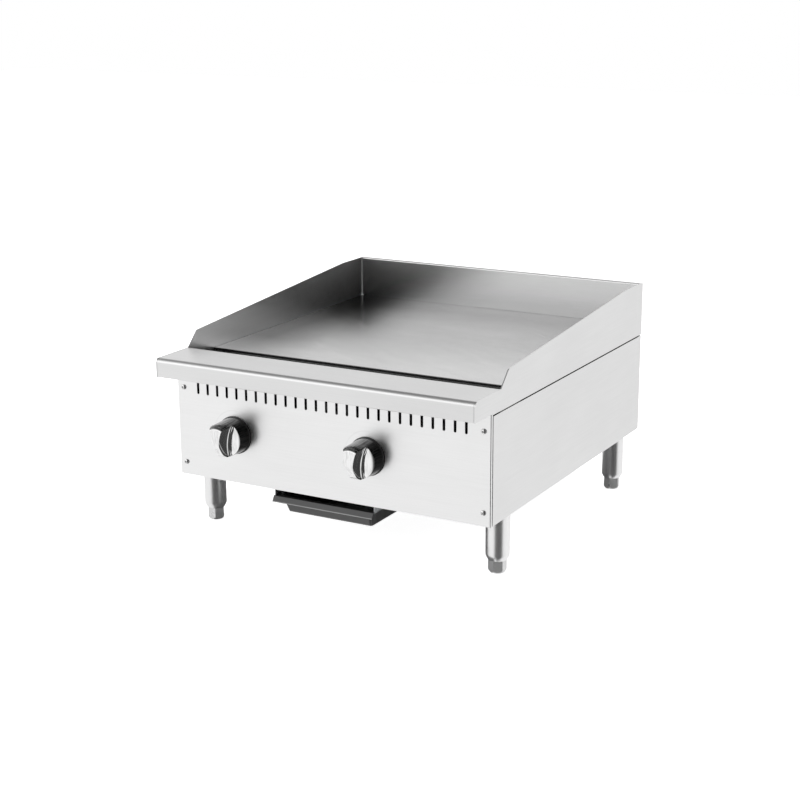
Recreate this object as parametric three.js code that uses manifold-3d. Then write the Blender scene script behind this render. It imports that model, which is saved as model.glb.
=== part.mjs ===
// A countertop gas griddle: a thick steel plate between welded splashes, with a grease
// trough and a bullnose ledge in front, two gas burners below, a drip tray and four legs.
// Millimetres, +Z up. The user stands at -Y. The origin is on the floor, in the middle.

import * as THREE from 'three';
import { mergeVertices } from 'three/addons/utils/BufferGeometryUtils.js';
import Module from 'manifold-3d';

const wasm = await Module();
wasm.setup();

// ---------------------------------------------------------------- driving dimensions

const WIDTH = 610;
const BODY_DEPTH = 704;
const INLET_STUB = 22;
const HEIGHT = 387;
const HALF = WIDTH / 2;

const GAP = 0.3; // air between two pieces that touch
const SHEET = 1.5; // body sheets
const SPLASH_SHEET = 2; // upper, welded sheets
const BEND_STEPS = 3; // facets in a sheet's bend
const SLOT_END_STEPS = 2; // facets in a quarter of a slot's round end
const CLEAR = 5; // how far a cut starts outside the sheet it goes through
const OVERLAP = 1; // how far the joined parts of one piece run into each other

// heights
const BODY_BOTTOM = 102;
const SIDE_PANEL_TOP = 286;
const SPLASH_BOTTOM = 288;
const BULLNOSE_BOTTOM = 290;
const BULLNOSE_RADIUS = 8;
const PLATE_TOP = 308;
const PLATE_THICKNESS = 19;
const LEDGE_TOP = 323.5;
const LEDGE_LIP_BOTTOM = 298;
const TROUGH_FRONT_TOP = 310;
const TROUGH_REAR_TOP = 303;
const TROUGH_BOTTOM = 262;
const HEM = 15; // folded down behind the top of the back splash

// depths, counted from the front of the bullnose
const PANEL_FRONT = 58;
const SIDE_PANEL_FRONT = 65;
const BULLNOSE_REAR_EDGE = 80;
const LEDGE_REAR = 92;
const PLATE_FRONT = 167;
const BACK_SPLASH_FRONT = 692;

// vent slots under the bullnose
const SLOT_COUNT = 27;
const SLOT_PITCH = 20.05;
const SLOT_WIDTH = 4.6;
const SLOT_BOTTOM = 252;
const SLOT_TOP = 280;

// controls
const KNOB_X = [-186, 78];
const KNOB_HEIGHT = 188.5;
const KNOB_RADIUS = 32;
const KNOB_RIM_RADIUS = 30.6;
const KNOB_FACE = 29; // the front of the drum
const KNOB_NOSE = 0.6; // the front of the grip
const KNOB_SIDES = 28;
const BEZEL_THICKNESS = 4;
const STEM_RADIUS = 4;

// burners, one under each half of the plate, fed through the leg on its left
const BURNER_LEG_SPACING = 108;
const BURNER_HEIGHT = 215;
const BURNER_RADIUS = 16;
const BURNER_WALL = 4;
const BURNER_MOUTH = 128;
const BURNER_REAR = 640;
const FIREWALL_FRONT = 172;
const PILOT_OFFSET = 36; // to the right of the knob
const PILOT_HEIGHT = 195;
const PILOT_TUBE_RADIUS = 2.5;

// gas line
const MANIFOLD_HEIGHT = 160;
const MANIFOLD_DEPTH = 92;
const PIPE_RADIUS = 10.7;
const PIPE_BORE = 7.8;
const INLET_X = 262;

// drip tray
const TRAY_X = -9;
const TRAY_RIM_HALF = 96.3;
const TRAY_RIM_TOP = 92.1;
const TRAY_REAR = 318;
const TRAY_BOTTOM = 59;
const RAIL_OUTER_HALF = 98.8;
const RAIL_FOOT = 9.5;

// grease chute
const CHUTE_DEPTH = 130;
const CHUTE_SIZE = [62, 38];

// legs
const LEG_X = 283.5;
const LEG_DEPTHS = { front: 129, rear: 629 };
const LEG_RADIUS = 20;
const LEG_BOTTOM = 22;
const FOOT_CORNER_RADIUS = 15.6;

// ---------------------------------------------------------------- shared shape helpers

const vec = (x, y) => new THREE.Vector2(x, y);

function box(x0, x1, y0, y1, z0, z1) {
  const geometry = new THREE.BoxGeometry(x1 - x0, y1 - y0, z1 - z0);
  return geometry.translate((x0 + x1) / 2, (y0 + y1) / 2, (z0 + z1) / 2);
}

// An outline in (y, z), drawn out along X from x0 to x1.
function extrudeX(shape, x0, x1) {
  const geometry = new THREE.ExtrudeGeometry(shape, {
    depth: x1 - x0,
    bevelEnabled: false,
    curveSegments: SLOT_END_STEPS,
  });
  const basis = new THREE.Matrix4().makeBasis(
    new THREE.Vector3(0, 1, 0),
    new THREE.Vector3(0, 0, 1),
    new THREE.Vector3(1, 0, 0),
  );
  return geometry.applyMatrix4(basis).translate(x0, 0, 0);
}

// An outline in (x, z), drawn out along Y from y0 to y1.
function extrudeY(shape, y0, y1) {
  const geometry = new THREE.ExtrudeGeometry(shape, {
    depth: y1 - y0,
    bevelEnabled: false,
    curveSegments: SLOT_END_STEPS,
  });
  return geometry.rotateX(Math.PI / 2).translate(0, y1, 0);
}

// An outline in (x, y), drawn out along Z from z0 to z1.
function extrudeZ(shape, z0, z1) {
  const geometry = new THREE.ExtrudeGeometry(shape, {
    depth: z1 - z0,
    bevelEnabled: false,
    curveSegments: SLOT_END_STEPS,
  });
  return geometry.translate(0, 0, z0);
}

function cylinderY(radius, y0, y1, x, z, sides = 20) {
  const geometry = new THREE.CylinderGeometry(radius, radius, y1 - y0, sides);
  return geometry.translate(0, (y0 + y1) / 2, 0).translate(x, 0, z);
}

function cylinderX(radius, x0, x1, y, z, sides = 20) {
  const geometry = new THREE.CylinderGeometry(radius, radius, x1 - x0, sides);
  return geometry.rotateZ(Math.PI / 2).translate((x0 + x1) / 2, y, z);
}

function cylinderZ(radius, z0, z1, x, y, sides = 20) {
  const geometry = new THREE.CylinderGeometry(radius, radius, z1 - z0, sides);
  return geometry.rotateX(Math.PI / 2).translate(x, y, (z0 + z1) / 2);
}

// A (radius, height) profile turned about the Z axis.
function turned(profile, sides = 16) {
  const points = profile.map(([radius, height]) => vec(radius, height));
  return new THREE.LatheGeometry(points, sides).rotateX(Math.PI / 2);
}

function toSolid(geometry) {
  const bare = geometry.clone();
  bare.deleteAttribute('normal');
  bare.deleteAttribute('uv');
  const merged = mergeVertices(bare);
  return new wasm.Manifold(new wasm.Mesh({
    numProp: 3,
    vertProperties: new Float32Array(merged.attributes.position.array),
    triVerts: new Uint32Array(merged.index.array),
  }));
}

function toGeometry(solid) {
  const mesh = solid.getMesh();
  const geometry = new THREE.BufferGeometry();
  geometry.setAttribute('position', new THREE.BufferAttribute(mesh.vertProperties, 3));
  geometry.setIndex(new THREE.BufferAttribute(mesh.triVerts, 1));
  return geometry;
}

// The first piece with the joined ones added and then the cut ones taken away.
function combine(base, joined, cut = []) {
  let solid = toSolid(base);
  for (const piece of joined) {
    solid = solid.add(toSolid(piece));
  }
  for (const piece of cut) {
    solid = solid.subtract(toSolid(piece));
  }
  return toGeometry(solid);
}

// An open line of corners, each given as [x, y, bend radius].
function bentLine(corners) {
  const line = [vec(corners[0][0], corners[0][1])];
  for (let i = 1; i < corners.length - 1; i++) {
    const corner = vec(corners[i][0], corners[i][1]);
    const before = vec(corners[i - 1][0], corners[i - 1][1]).sub(corner).normalize();
    const after = vec(corners[i + 1][0], corners[i + 1][1]).sub(corner).normalize();
    const reach = (corners[i][2] ?? 0) / Math.tan(Math.acos(before.dot(after)) / 2);
    if (reach === 0) {
      line.push(corner);
    } else {
      const start = corner.clone().addScaledVector(before, reach);
      const end = corner.clone().addScaledVector(after, reach);
      line.push(...new THREE.QuadraticBezierCurve(start, corner, end).getPoints(BEND_STEPS));
    }
  }
  const last = corners[corners.length - 1];
  line.push(vec(last[0], last[1]));
  return line;
}

// The section of a bent sheet. The line is its outer face; the metal lies on the left of it.
function sheetSection(corners, thickness) {
  const outer = bentLine(corners);
  const inner = outer.map((point, i) => {
    const towards = outer[Math.min(i + 1, outer.length - 1)];
    const from = outer[Math.max(i - 1, 0)];
    const arriving = point.clone().sub(from).normalize();
    const leaving = towards.clone().sub(point).normalize();
    const along = arriving.clone().add(leaving).normalize();
    const single = arriving.length() > 0 ? arriving : leaving;
    const stretch = thickness / along.dot(single);
    return vec(point.x - along.y * stretch, point.y + along.x * stretch);
  });
  return new THREE.Shape([...outer, ...inner.reverse()]);
}

// An upright slot with round ends.
function slot(x, bottom, top, width) {
  const r = width / 2;
  const outline = new THREE.Shape();
  outline.moveTo(x + r, bottom + r);
  outline.lineTo(x + r, top - r);
  outline.absarc(x, top - r, r, 0, Math.PI, false);
  outline.lineTo(x - r, bottom + r);
  outline.absarc(x, bottom + r, r, Math.PI, 2 * Math.PI, false);
  return outline;
}

// A rod or tube of round section along a route of 3-D points with rounded corners.
function rod(points, radius, sides, steps) {
  const section = new THREE.Shape(Array.from({ length: sides }, (_, i) => {
    const angle = (i / sides) * 2 * Math.PI;
    return vec(radius * Math.cos(angle), radius * Math.sin(angle));
  }));
  const route = new THREE.CatmullRomCurve3(points, false, 'chordal');
  return new THREE.ExtrudeGeometry(section, { steps, extrudePath: route });
}

// ---------------------------------------------------------------- materials

const finish = (color, roughness, metalness) => (
  () => new THREE.MeshStandardMaterial({ color, roughness, metalness })
);
const stainless = finish(0xd9d9d9, 0.35, 0.9);
const plateSteel = finish(0xb9b9ba, 0.4, 0.9);
const galvanised = finish(0xa9adb0, 0.5, 0.8);
const darkSteel = finish(0x55585a, 0.5, 0.7);
const chrome = finish(0xe6e6e8, 0.08, 1);
const blackPlastic = finish(0x151515, 0.45, 0);
const brass = finish(0xc8a860, 0.3, 0.9);
const blackIron = finish(0x2b2b2d, 0.6, 0.6);
const burnerSteel = finish(0x8c8780, 0.6, 0.7);

// Everything below is placed by its depth behind the front of the bullnose.
const griddle = new THREE.Group();
const body = new THREE.Group();
body.position.y = -(BODY_DEPTH + INLET_STUB) / 2;
griddle.add(body);

function add(name, geometry, material, parent = body) {
  const mesh = new THREE.Mesh(geometry, material());
  mesh.name = name;
  parent.add(mesh);
  return mesh;
}

const SIDES = [['left', -1], ['right', 1]];

// Keeps a mirrored outline turning the same way round.
const mirrored = (x0, x1, sign) => [Math.min(sign * x0, sign * x1), Math.max(sign * x0, sign * x1)];

function mirrorX(geometry) {
  const flipped = toSolid(geometry).mirror([1, 0, 0]);
  return toGeometry(flipped);
}

// ---------------------------------------------------------------- griddle top

const SPLASH_INNER = HALF - SPLASH_SHEET;
const UPPER_HALF = SPLASH_INNER - GAP;

function griddlePlate() {
  const rear = BACK_SPLASH_FRONT - GAP;
  return box(-UPPER_HALF, UPPER_HALF, PLATE_FRONT, rear, PLATE_TOP - PLATE_THICKNESS, PLATE_TOP);
}

function sideSplash(sign) {
  const kink = [119, 350];
  const slopeEnd = 619;
  const bullnoseEnd = 62;
  const flangeWidth = 10;
  const outline = new THREE.Shape(bentLine([
    [0, BULLNOSE_BOTTOM],
    [0, LEDGE_TOP, BULLNOSE_RADIUS],
    [LEDGE_REAR, LEDGE_TOP, 4],
    [kink[0], kink[1], 8],
    [slopeEnd, HEIGHT],
    [BODY_DEPTH, HEIGHT],
    [BODY_DEPTH, SPLASH_BOTTOM],
    [bullnoseEnd, SPLASH_BOTTOM],
    [bullnoseEnd, BULLNOSE_BOTTOM],
  ]));
  const wall = extrudeX(outline, ...mirrored(SPLASH_INNER, HALF, sign));
  const rearFlange = box(
    ...mirrored(SPLASH_INNER - flangeWidth, SPLASH_INNER + OVERLAP, sign),
    BODY_DEPTH - SPLASH_SHEET,
    BODY_DEPTH,
    SPLASH_BOTTOM,
    HEIGHT - HEM - GAP,
  );
  return combine(wall, [rearFlange]);
}

function backSplash() {
  const section = sheetSection([
    [BODY_DEPTH, HEIGHT - HEM],
    [BODY_DEPTH, HEIGHT, 2.5],
    [BACK_SPLASH_FRONT, HEIGHT, 2.5],
    [BACK_SPLASH_FRONT, SPLASH_BOTTOM],
  ], SPLASH_SHEET);
  return extrudeX(section, -UPPER_HALF, UPPER_HALF);
}

function frontLedge() {
  const section = sheetSection([
    [LEDGE_REAR, LEDGE_LIP_BOTTOM],
    [LEDGE_REAR, LEDGE_TOP, 3],
    [0, LEDGE_TOP, BULLNOSE_RADIUS],
    [0, BULLNOSE_BOTTOM, 2.5],
    [BULLNOSE_REAR_EDGE, BULLNOSE_BOTTOM],
  ], SPLASH_SHEET);
  return extrudeX(section, -UPPER_HALF, UPPER_HALF);
}

// A block over the outline of the grease chute, grown by some millimetres all round.
function aroundChute(grow, z0, z1) {
  const [width, depth] = CHUTE_SIZE;
  return box(
    TRAY_X - width / 2 - grow,
    TRAY_X + width / 2 + grow,
    CHUTE_DEPTH - depth / 2 - grow,
    CHUTE_DEPTH + depth / 2 + grow,
    z0,
    z1,
  );
}

function greaseTrough() {
  const front = LEDGE_REAR + GAP;
  const rear = PLATE_FRONT - GAP;
  const section = sheetSection([
    [front, TROUGH_FRONT_TOP],
    [front, TROUGH_BOTTOM, 3],
    [rear, TROUGH_BOTTOM, 3],
    [rear, TROUGH_REAR_TOP],
  ], SHEET);
  const channel = extrudeX(section, -UPPER_HALF, UPPER_HALF);
  const ends = SIDES.map(([, sign]) => box(
    ...mirrored(UPPER_HALF - SHEET, UPPER_HALF, sign),
    front + SHEET / 2,
    rear - SHEET / 2,
    TROUGH_BOTTOM + SHEET / 2,
    TROUGH_REAR_TOP,
  ));
  const drain = aroundChute(-3, TROUGH_BOTTOM - CLEAR, TROUGH_BOTTOM + CLEAR);
  return combine(channel, ends, [drain]);
}

function greaseChute() {
  const flangeWidth = 8;
  const top = TROUGH_BOTTOM - GAP;
  const bottom = BODY_BOTTOM + 1;
  const flange = aroundChute(flangeWidth, top - SHEET, top);
  const bore = aroundChute(-SHEET, bottom - CLEAR, top + CLEAR);
  return combine(aroundChute(0, bottom, top), [flange], [bore]);
}

add('griddle_plate', griddlePlate(), plateSteel);
for (const [side, sign] of SIDES) {
  add(`splash_${side}`, sideSplash(sign), stainless);
}
add('splash_back', backSplash(), stainless);
add('front_ledge', frontLedge(), stainless);
add('grease_trough', greaseTrough(), stainless);
add('grease_chute', greaseChute(), galvanised);

// ---------------------------------------------------------------- body panels

const PANEL_TOP = BULLNOSE_BOTTOM - GAP;
const FLANGE_HALF = 262;
const SCREW_X = 291.5;
const BACK_SCREW_X = 296;
const SCREW_HEIGHTS = [125, 261];
const SCREW_RADIUS = 2.5;
const SCREW_HOLE_RADIUS = SCREW_RADIUS + GAP;
const STEM_HOLE_RADIUS = STEM_RADIUS + 2;

function frontPanel() {
  const sideReturn = PANEL_FRONT + 4;
  const flangeRear = PANEL_FRONT + 17;
  const railOpening = RAIL_OUTER_HALF + 3;
  const plan = sheetSection([
    [-HALF, sideReturn],
    [-HALF, PANEL_FRONT, 2],
    [HALF, PANEL_FRONT, 2],
    [HALF, sideReturn],
  ], SHEET);
  const flange = (x0, x1, z) => (
    box(x0, x1, PANEL_FRONT + SHEET / 2, flangeRear, z, z + SHEET)
  );
  const flanges = [
    flange(-FLANGE_HALF, FLANGE_HALF, PANEL_TOP - SHEET),
    flange(-FLANGE_HALF, TRAY_X - railOpening, BODY_BOTTOM),
    flange(TRAY_X + railOpening, FLANGE_HALF, BODY_BOTTOM),
  ];
  const cutFront = PANEL_FRONT - CLEAR;
  const cutRear = PANEL_FRONT + CLEAR;
  const slots = Array.from({ length: SLOT_COUNT }, (_, i) => {
    const x = (i - (SLOT_COUNT - 1) / 2) * SLOT_PITCH;
    return extrudeY(slot(x, SLOT_BOTTOM, SLOT_TOP, SLOT_WIDTH), cutFront, cutRear);
  });
  const stemHoles = KNOB_X.map(
    (x) => cylinderY(STEM_HOLE_RADIUS, cutFront, cutRear, x, KNOB_HEIGHT, 16),
  );
  const screwHoles = [-SCREW_X, SCREW_X].flatMap((x) => SCREW_HEIGHTS.map(
    (z) => cylinderY(SCREW_HOLE_RADIUS, cutFront, cutRear, x, z, 10),
  ));
  const sheet = extrudeZ(plan, BODY_BOTTOM, PANEL_TOP);
  return combine(sheet, flanges, [...slots, ...stemHoles, ...screwHoles]);
}

const LEG_HOLE_RADIUS = 5.6;
const LEG_HOLE_REACH = 15; // long enough for all the sheets a leg's stud goes through

const legHoles = (sign) => Object.values(LEG_DEPTHS).map((depth) => cylinderZ(
  LEG_HOLE_RADIUS,
  BODY_BOTTOM - LEG_HOLE_REACH,
  BODY_BOTTOM + LEG_HOLE_REACH,
  sign * LEG_X,
  depth,
  16,
));

function sidePanel(sign) {
  const frontReturn = 20;
  const rearReturn = 15;
  const flangeWidth = 42;
  const plan = sheetSection([
    [HALF - frontReturn, SIDE_PANEL_FRONT],
    [HALF, SIDE_PANEL_FRONT, 2],
    [HALF, BODY_DEPTH, 2],
    [HALF - rearReturn, BODY_DEPTH],
  ], SHEET);
  const wall = extrudeZ(plan, BODY_BOTTOM, SIDE_PANEL_TOP);
  const bottomFlange = box(
    HALF - flangeWidth,
    HALF - SHEET / 2,
    SIDE_PANEL_FRONT + SHEET / 2,
    BODY_DEPTH - SHEET / 2,
    BODY_BOTTOM,
    BODY_BOTTOM + SHEET,
  );
  const screwHole = (x, y, z) => (
    cylinderY(SCREW_HOLE_RADIUS, y - CLEAR, y + CLEAR, x, z, 12)
  );
  const screwHoles = SCREW_HEIGHTS.flatMap((z) => [
    screwHole(SCREW_X, SIDE_PANEL_FRONT, z),
    screwHole(BACK_SCREW_X, BODY_DEPTH, z),
  ]);
  const panel = combine(wall, [bottomFlange], [...screwHoles, ...legHoles(1)]);
  return sign < 0 ? mirrorX(panel) : panel;
}

const BACK_PANEL_REAR = BODY_DEPTH - SHEET - GAP;
const FLUE_COLUMNS = [-195, -65, 65, 195];
const FLUE_ROWS = [222, 242, 262];
const FLUE_SLOT = [104, 8];

function backPanel() {
  const half = HALF - 2;
  const front = BACK_PANEL_REAR - SHEET;
  const cutFront = front - CLEAR;
  const cutRear = BACK_PANEL_REAR + CLEAR;
  const sheet = box(-half, half, front, BACK_PANEL_REAR, BODY_BOTTOM + 2, SIDE_PANEL_TOP);
  const flueSlots = FLUE_COLUMNS.flatMap((x) => FLUE_ROWS.map((z) => box(
    x - FLUE_SLOT[0] / 2,
    x + FLUE_SLOT[0] / 2,
    cutFront,
    cutRear,
    z - FLUE_SLOT[1] / 2,
    z + FLUE_SLOT[1] / 2,
  )));
  const screwHoles = [-BACK_SCREW_X, BACK_SCREW_X].flatMap((x) => SCREW_HEIGHTS.map(
    (z) => cylinderY(SCREW_HOLE_RADIUS, cutFront, cutRear, x, z, 10),
  ));
  const inletHole = cylinderY(PIPE_RADIUS + 2, cutFront, cutRear, INLET_X, MANIFOLD_HEIGHT, 16);
  const topFlange = box(
    -UPPER_HALF,
    UPPER_HALF,
    BACK_SPLASH_FRONT + SPLASH_SHEET + GAP,
    front + SHEET / 2,
    SIDE_PANEL_TOP - SHEET,
    SIDE_PANEL_TOP,
  );
  return combine(sheet, [topFlange], [...flueSlots, ...screwHoles, inletHole]);
}

const BOTTOM_PANEL_Z = BODY_BOTTOM + SHEET + GAP;
const AIR_COLUMN = 200;
const AIR_ROWS = [250, 314, 378, 442, 506, 570];
const AIR_SLOT = [90, 12];

function bottomPanel() {
  const half = HALF - SHEET - GAP;
  const front = SIDE_PANEL_FRONT + SHEET + GAP;
  const rear = BACK_PANEL_REAR - SHEET - GAP;
  const z0 = BOTTOM_PANEL_Z - CLEAR;
  const z1 = BOTTOM_PANEL_Z + CLEAR;
  const sheet = box(-half, half, front, rear, BOTTOM_PANEL_Z, BOTTOM_PANEL_Z + SHEET);
  const chuteHole = aroundChute(2, z0, z1);
  const airSlots = [-AIR_COLUMN, AIR_COLUMN].flatMap((x) => AIR_ROWS.map((y) => box(
    x - AIR_SLOT[0] / 2,
    x + AIR_SLOT[0] / 2,
    y - AIR_SLOT[1] / 2,
    y + AIR_SLOT[1] / 2,
    z0,
    z1,
  )));
  return combine(sheet, [], [chuteHole, ...airSlots, ...legHoles(1), ...legHoles(-1)]);
}

const RAIL_SHEET = 2;
const BASE_RAIL_BOTTOM = BOTTOM_PANEL_Z + SHEET + GAP;
const BASE_RAIL_TOP = BASE_RAIL_BOTTOM + 22;
const BASE_RAIL_INNER = 265;

function baseRail(sign) {
  const outer = HALF - SHEET - 2 * GAP;
  const section = sheetSection([
    [BASE_RAIL_INNER, BASE_RAIL_TOP],
    [BASE_RAIL_INNER, BASE_RAIL_BOTTOM, 3],
    [outer, BASE_RAIL_BOTTOM, 3],
    [outer, BASE_RAIL_TOP],
  ], RAIL_SHEET);
  const channel = extrudeY(section, SIDE_PANEL_FRONT + 10, BACK_PANEL_REAR - 10);
  const rail = combine(channel, [], legHoles(1));
  return sign < 0 ? mirrorX(rail) : rail;
}

function plateSupport(sign) {
  const leg = 30;
  const wall = 3;
  const top = PLATE_TOP - PLATE_THICKNESS - GAP;
  const section = sheetSection([
    [UPPER_HALF, top - leg],
    [UPPER_HALF, top, wall + 0.5],
    [UPPER_HALF - leg, top],
  ], wall);
  const angle = extrudeY(section, FIREWALL_FRONT + 5, BACK_SPLASH_FRONT - 2);
  return sign < 0 ? mirrorX(angle) : angle;
}

function firewall() {
  const wide = HALF - SHEET - 2;
  const narrow = BASE_RAIL_INNER - GAP;
  const step = BASE_RAIL_TOP + GAP;
  const top = PLATE_TOP - PLATE_THICKNESS - GAP;
  const face = new THREE.Shape([
    vec(-narrow, BASE_RAIL_BOTTOM),
    vec(narrow, BASE_RAIL_BOTTOM),
    vec(narrow, step),
    vec(wide, step),
    vec(wide, top),
    vec(-wide, top),
    vec(-wide, step),
    vec(-narrow, step),
  ]);
  const looseFit = 1.5;
  const hole = (x, z, radius, sides) => (
    cylinderY(radius, FIREWALL_FRONT - CLEAR, FIREWALL_FRONT + CLEAR, x, z, sides)
  );
  const holes = KNOB_X.flatMap((x) => [
    hole(x, KNOB_HEIGHT, BURNER_RADIUS + looseFit, 16),
    hole(x + PILOT_OFFSET, PILOT_HEIGHT, PILOT_TUBE_RADIUS + looseFit, 8),
  ]);
  holes.push(hole(INLET_X, MANIFOLD_HEIGHT, PIPE_RADIUS + looseFit, 16));
  return combine(extrudeY(face, FIREWALL_FRONT, FIREWALL_FRONT + SHEET), [], holes);
}

// A domed screw, head up, with its seat at the origin.
function panelScrew() {
  const head = turned([[0, 0], [4.6, 0], [4.6, 0.8], [3.2, 2.3], [0, 2.8]], 12);
  const shank = turned([[0, -9], [SCREW_RADIUS, -9], [SCREW_RADIUS, 0.4], [0, 0.4]], 10);
  return combine(head, [shank]);
}

add('front_panel', frontPanel(), stainless);
for (const [side, sign] of SIDES) {
  add(`side_panel_${side}`, sidePanel(sign), stainless);
  add(`base_rail_${side}`, baseRail(sign), galvanised);
  add(`plate_support_${side}`, plateSupport(sign), blackIron);
}
add('back_panel', backPanel(), galvanised);
add('bottom_panel', bottomPanel(), galvanised);
add('firewall', firewall(), galvanised);
for (const [side, sign] of SIDES) {
  for (const [level, z] of [['lower', SCREW_HEIGHTS[0]], ['upper', SCREW_HEIGHTS[1]]]) {
    const front = panelScrew().rotateX(Math.PI / 2);
    front.translate(sign * SCREW_X, PANEL_FRONT - GAP, z);
    add(`front_screw_${side}_${level}`, front, chrome);
    const back = panelScrew().rotateX(-Math.PI / 2);
    back.translate(sign * BACK_SCREW_X, BODY_DEPTH + GAP, z);
    add(`back_screw_${side}_${level}`, back, chrome);
  }
}

// ---------------------------------------------------------------- controls

const KNOB_REAR = PANEL_FRONT - GAP - BEZEL_THICKNESS - GAP;

// The knob in its own frame: the axis along Y, the pointer end up, y still a depth.
// A drum carries a waisted grip, whose nose curves back towards its lower end.
function knob() {
  const drum = turned([
    [0, 0],
    [KNOB_RADIUS, 0],
    [KNOB_RIM_RADIUS, KNOB_REAR - KNOB_FACE],
    [0, KNOB_REAR - KNOB_FACE],
  ], KNOB_SIDES).rotateX(Math.PI / 2).translate(0, KNOB_REAR, 0);
  const sweep = turned([
    [0, 0],
    [KNOB_RIM_RADIUS, 0],
    [KNOB_RIM_RADIUS, KNOB_REAR - KNOB_FACE],
    [29, KNOB_REAR - KNOB_NOSE - 5],
    [27, KNOB_REAR - KNOB_NOSE - 1.5],
    [23.5, KNOB_REAR - KNOB_NOSE],
    [0, KNOB_REAR - KNOB_NOSE],
  ], KNOB_SIDES).rotateX(Math.PI / 2).translate(0, KNOB_REAR, 0);
  const gripSide = new THREE.Shape([
    vec(KNOB_FACE + OVERLAP, -KNOB_RADIUS),
    vec(KNOB_FACE + OVERLAP, KNOB_RADIUS),
    vec(KNOB_NOSE, KNOB_RADIUS),
    vec(KNOB_NOSE, -4),
    vec(3, -12),
    vec(7, -19),
    vec(12, -24.5),
    vec(20, -30.5),
  ]);
  const waist = 5.7;
  const waistHeight = -10;
  const flanks = [-34, -22, -10, 2, 12, 20, 26, 34].map(
    (z) => vec(waist + (z - waistHeight) ** 2 / 150, z),
  );
  const otherFlanks = flanks.map(({ x, y }) => vec(-x, y)).reverse();
  const gripFront = new THREE.Shape([...flanks, ...otherFlanks]);
  const grip = toSolid(extrudeX(gripSide, -KNOB_RADIUS, KNOB_RADIUS))
    .intersect(toSolid(extrudeY(gripFront, 0, KNOB_REAR)))
    .intersect(toSolid(sweep));
  const boreDepth = 18;
  const bore = cylinderY(STEM_RADIUS + GAP, KNOB_REAR - boreDepth, KNOB_REAR + CLEAR, 0, 0, 16);
  return toGeometry(toSolid(drum).add(grip).subtract(toSolid(bore)));
}

function knobBezel() {
  const rim = KNOB_RADIUS + 1.5;
  const ring = turned([
    [STEM_HOLE_RADIUS, 0],
    [rim, 0],
    [rim, BEZEL_THICKNESS - 1.5],
    [KNOB_RADIUS, BEZEL_THICKNESS],
    [STEM_HOLE_RADIUS, BEZEL_THICKNESS],
    [STEM_HOLE_RADIUS, 0],
  ], KNOB_SIDES);
  return ring.rotateX(Math.PI / 2).translate(0, PANEL_FRONT - GAP, 0);
}

const STEM_REAR = 74;
const VALVE_FRONT = 76;
const VALVE_REAR = 112;

function valveStem() {
  const front = KNOB_REAR - 17;
  const round = cylinderY(STEM_RADIUS, front, STEM_REAR, 0, 0, 16);
  const flat = box(
    -STEM_RADIUS - 1,
    STEM_RADIUS + 1,
    front - 1,
    KNOB_REAR,
    STEM_RADIUS - 1.2,
    STEM_RADIUS + 1,
  );
  return combine(round, [], [flat]);
}

function gasValve() {
  const inletTop = 176.5 - KNOB_HEIGHT;
  const inletBottom = MANIFOLD_HEIGHT + PIPE_RADIUS + GAP - KNOB_HEIGHT;
  const glandFront = 67;
  const orificeTip = 123;
  const block = box(-12, 12, VALVE_FRONT, VALVE_REAR, -13, 13);
  const gland = cylinderY(8, glandFront, VALVE_FRONT + OVERLAP, 0, 0, 16);
  const orifice = cylinderY(6, VALVE_REAR - OVERLAP, orificeTip, 0, 0, 12);
  const inlet = cylinderZ(6.5, inletBottom, inletTop, 0, MANIFOLD_DEPTH, 12);
  const stemBore = cylinderY(STEM_RADIUS + GAP, glandFront - CLEAR, STEM_REAR + GAP, 0, 0, 16);
  return combine(block, [gland, orifice, inlet], [stemBore]);
}

// ---------------------------------------------------------------- burners and gas line

const SHUTTER_FRONT = BURNER_MOUTH - 2.2;
const WINDOW = { front: 132, rear: 143, halfHeight: 6 };

const airWindow = () => box(
  -30,
  30,
  WINDOW.front,
  WINDOW.rear,
  -WINDOW.halfHeight,
  WINDOW.halfHeight,
);

// The route of a burner: in through the left leg, round the back, forward in the right leg.
function burnerRoute(mouth, end) {
  const lift = BURNER_HEIGHT - KNOB_HEIGHT;
  const bend = BURNER_LEG_SPACING / 2;
  const bendCentre = BURNER_REAR - bend;
  const rear = Array.from({ length: 7 }, (_, i) => {
    const angle = Math.PI - (i / 6) * Math.PI;
    const x = bend + bend * Math.cos(angle);
    return new THREE.Vector3(x, bendCentre + bend * Math.sin(angle), lift);
  });
  return [
    new THREE.Vector3(0, mouth, 0),
    new THREE.Vector3(0, 180, 0),
    new THREE.Vector3(0, 205, 3),
    new THREE.Vector3(0, 240, lift - 3),
    new THREE.Vector3(0, 265, lift),
    new THREE.Vector3(0, 420, lift),
    ...rear,
    new THREE.Vector3(BURNER_LEG_SPACING, 420, lift),
    new THREE.Vector3(BURNER_LEG_SPACING, end, lift),
  ];
}

function burner() {
  const outer = rod(burnerRoute(BURNER_MOUTH, 215), BURNER_RADIUS, 8, 28);
  const inner = rod(burnerRoute(BURNER_MOUTH - 8, 225), BURNER_RADIUS - BURNER_WALL, 6, 28);
  return combine(outer, [], [inner, airWindow()]);
}

function airShutter() {
  const inside = BURNER_RADIUS + 1;
  const outside = inside + SHEET;
  const noseHole = 7.5;
  const length = 24;
  const cup = turned([
    [noseHole, 0],
    [outside, 0],
    [outside, length],
    [inside, length],
    [inside, SHEET],
    [noseHole, SHEET],
    [noseHole, 0],
  ]).rotateX(-Math.PI / 2).translate(0, SHUTTER_FRONT, 0);
  return combine(cup, [], [airWindow()]);
}

function burnerRest() {
  const front = 600;
  const rear = 620;
  const half = 230;
  const section = sheetSection([
    [front, BURNER_HEIGHT - BURNER_RADIUS - GAP],
    [front, BASE_RAIL_BOTTOM, 3],
    [rear, BASE_RAIL_BOTTOM],
  ], SHEET);
  return extrudeX(section, -half, half);
}

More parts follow.
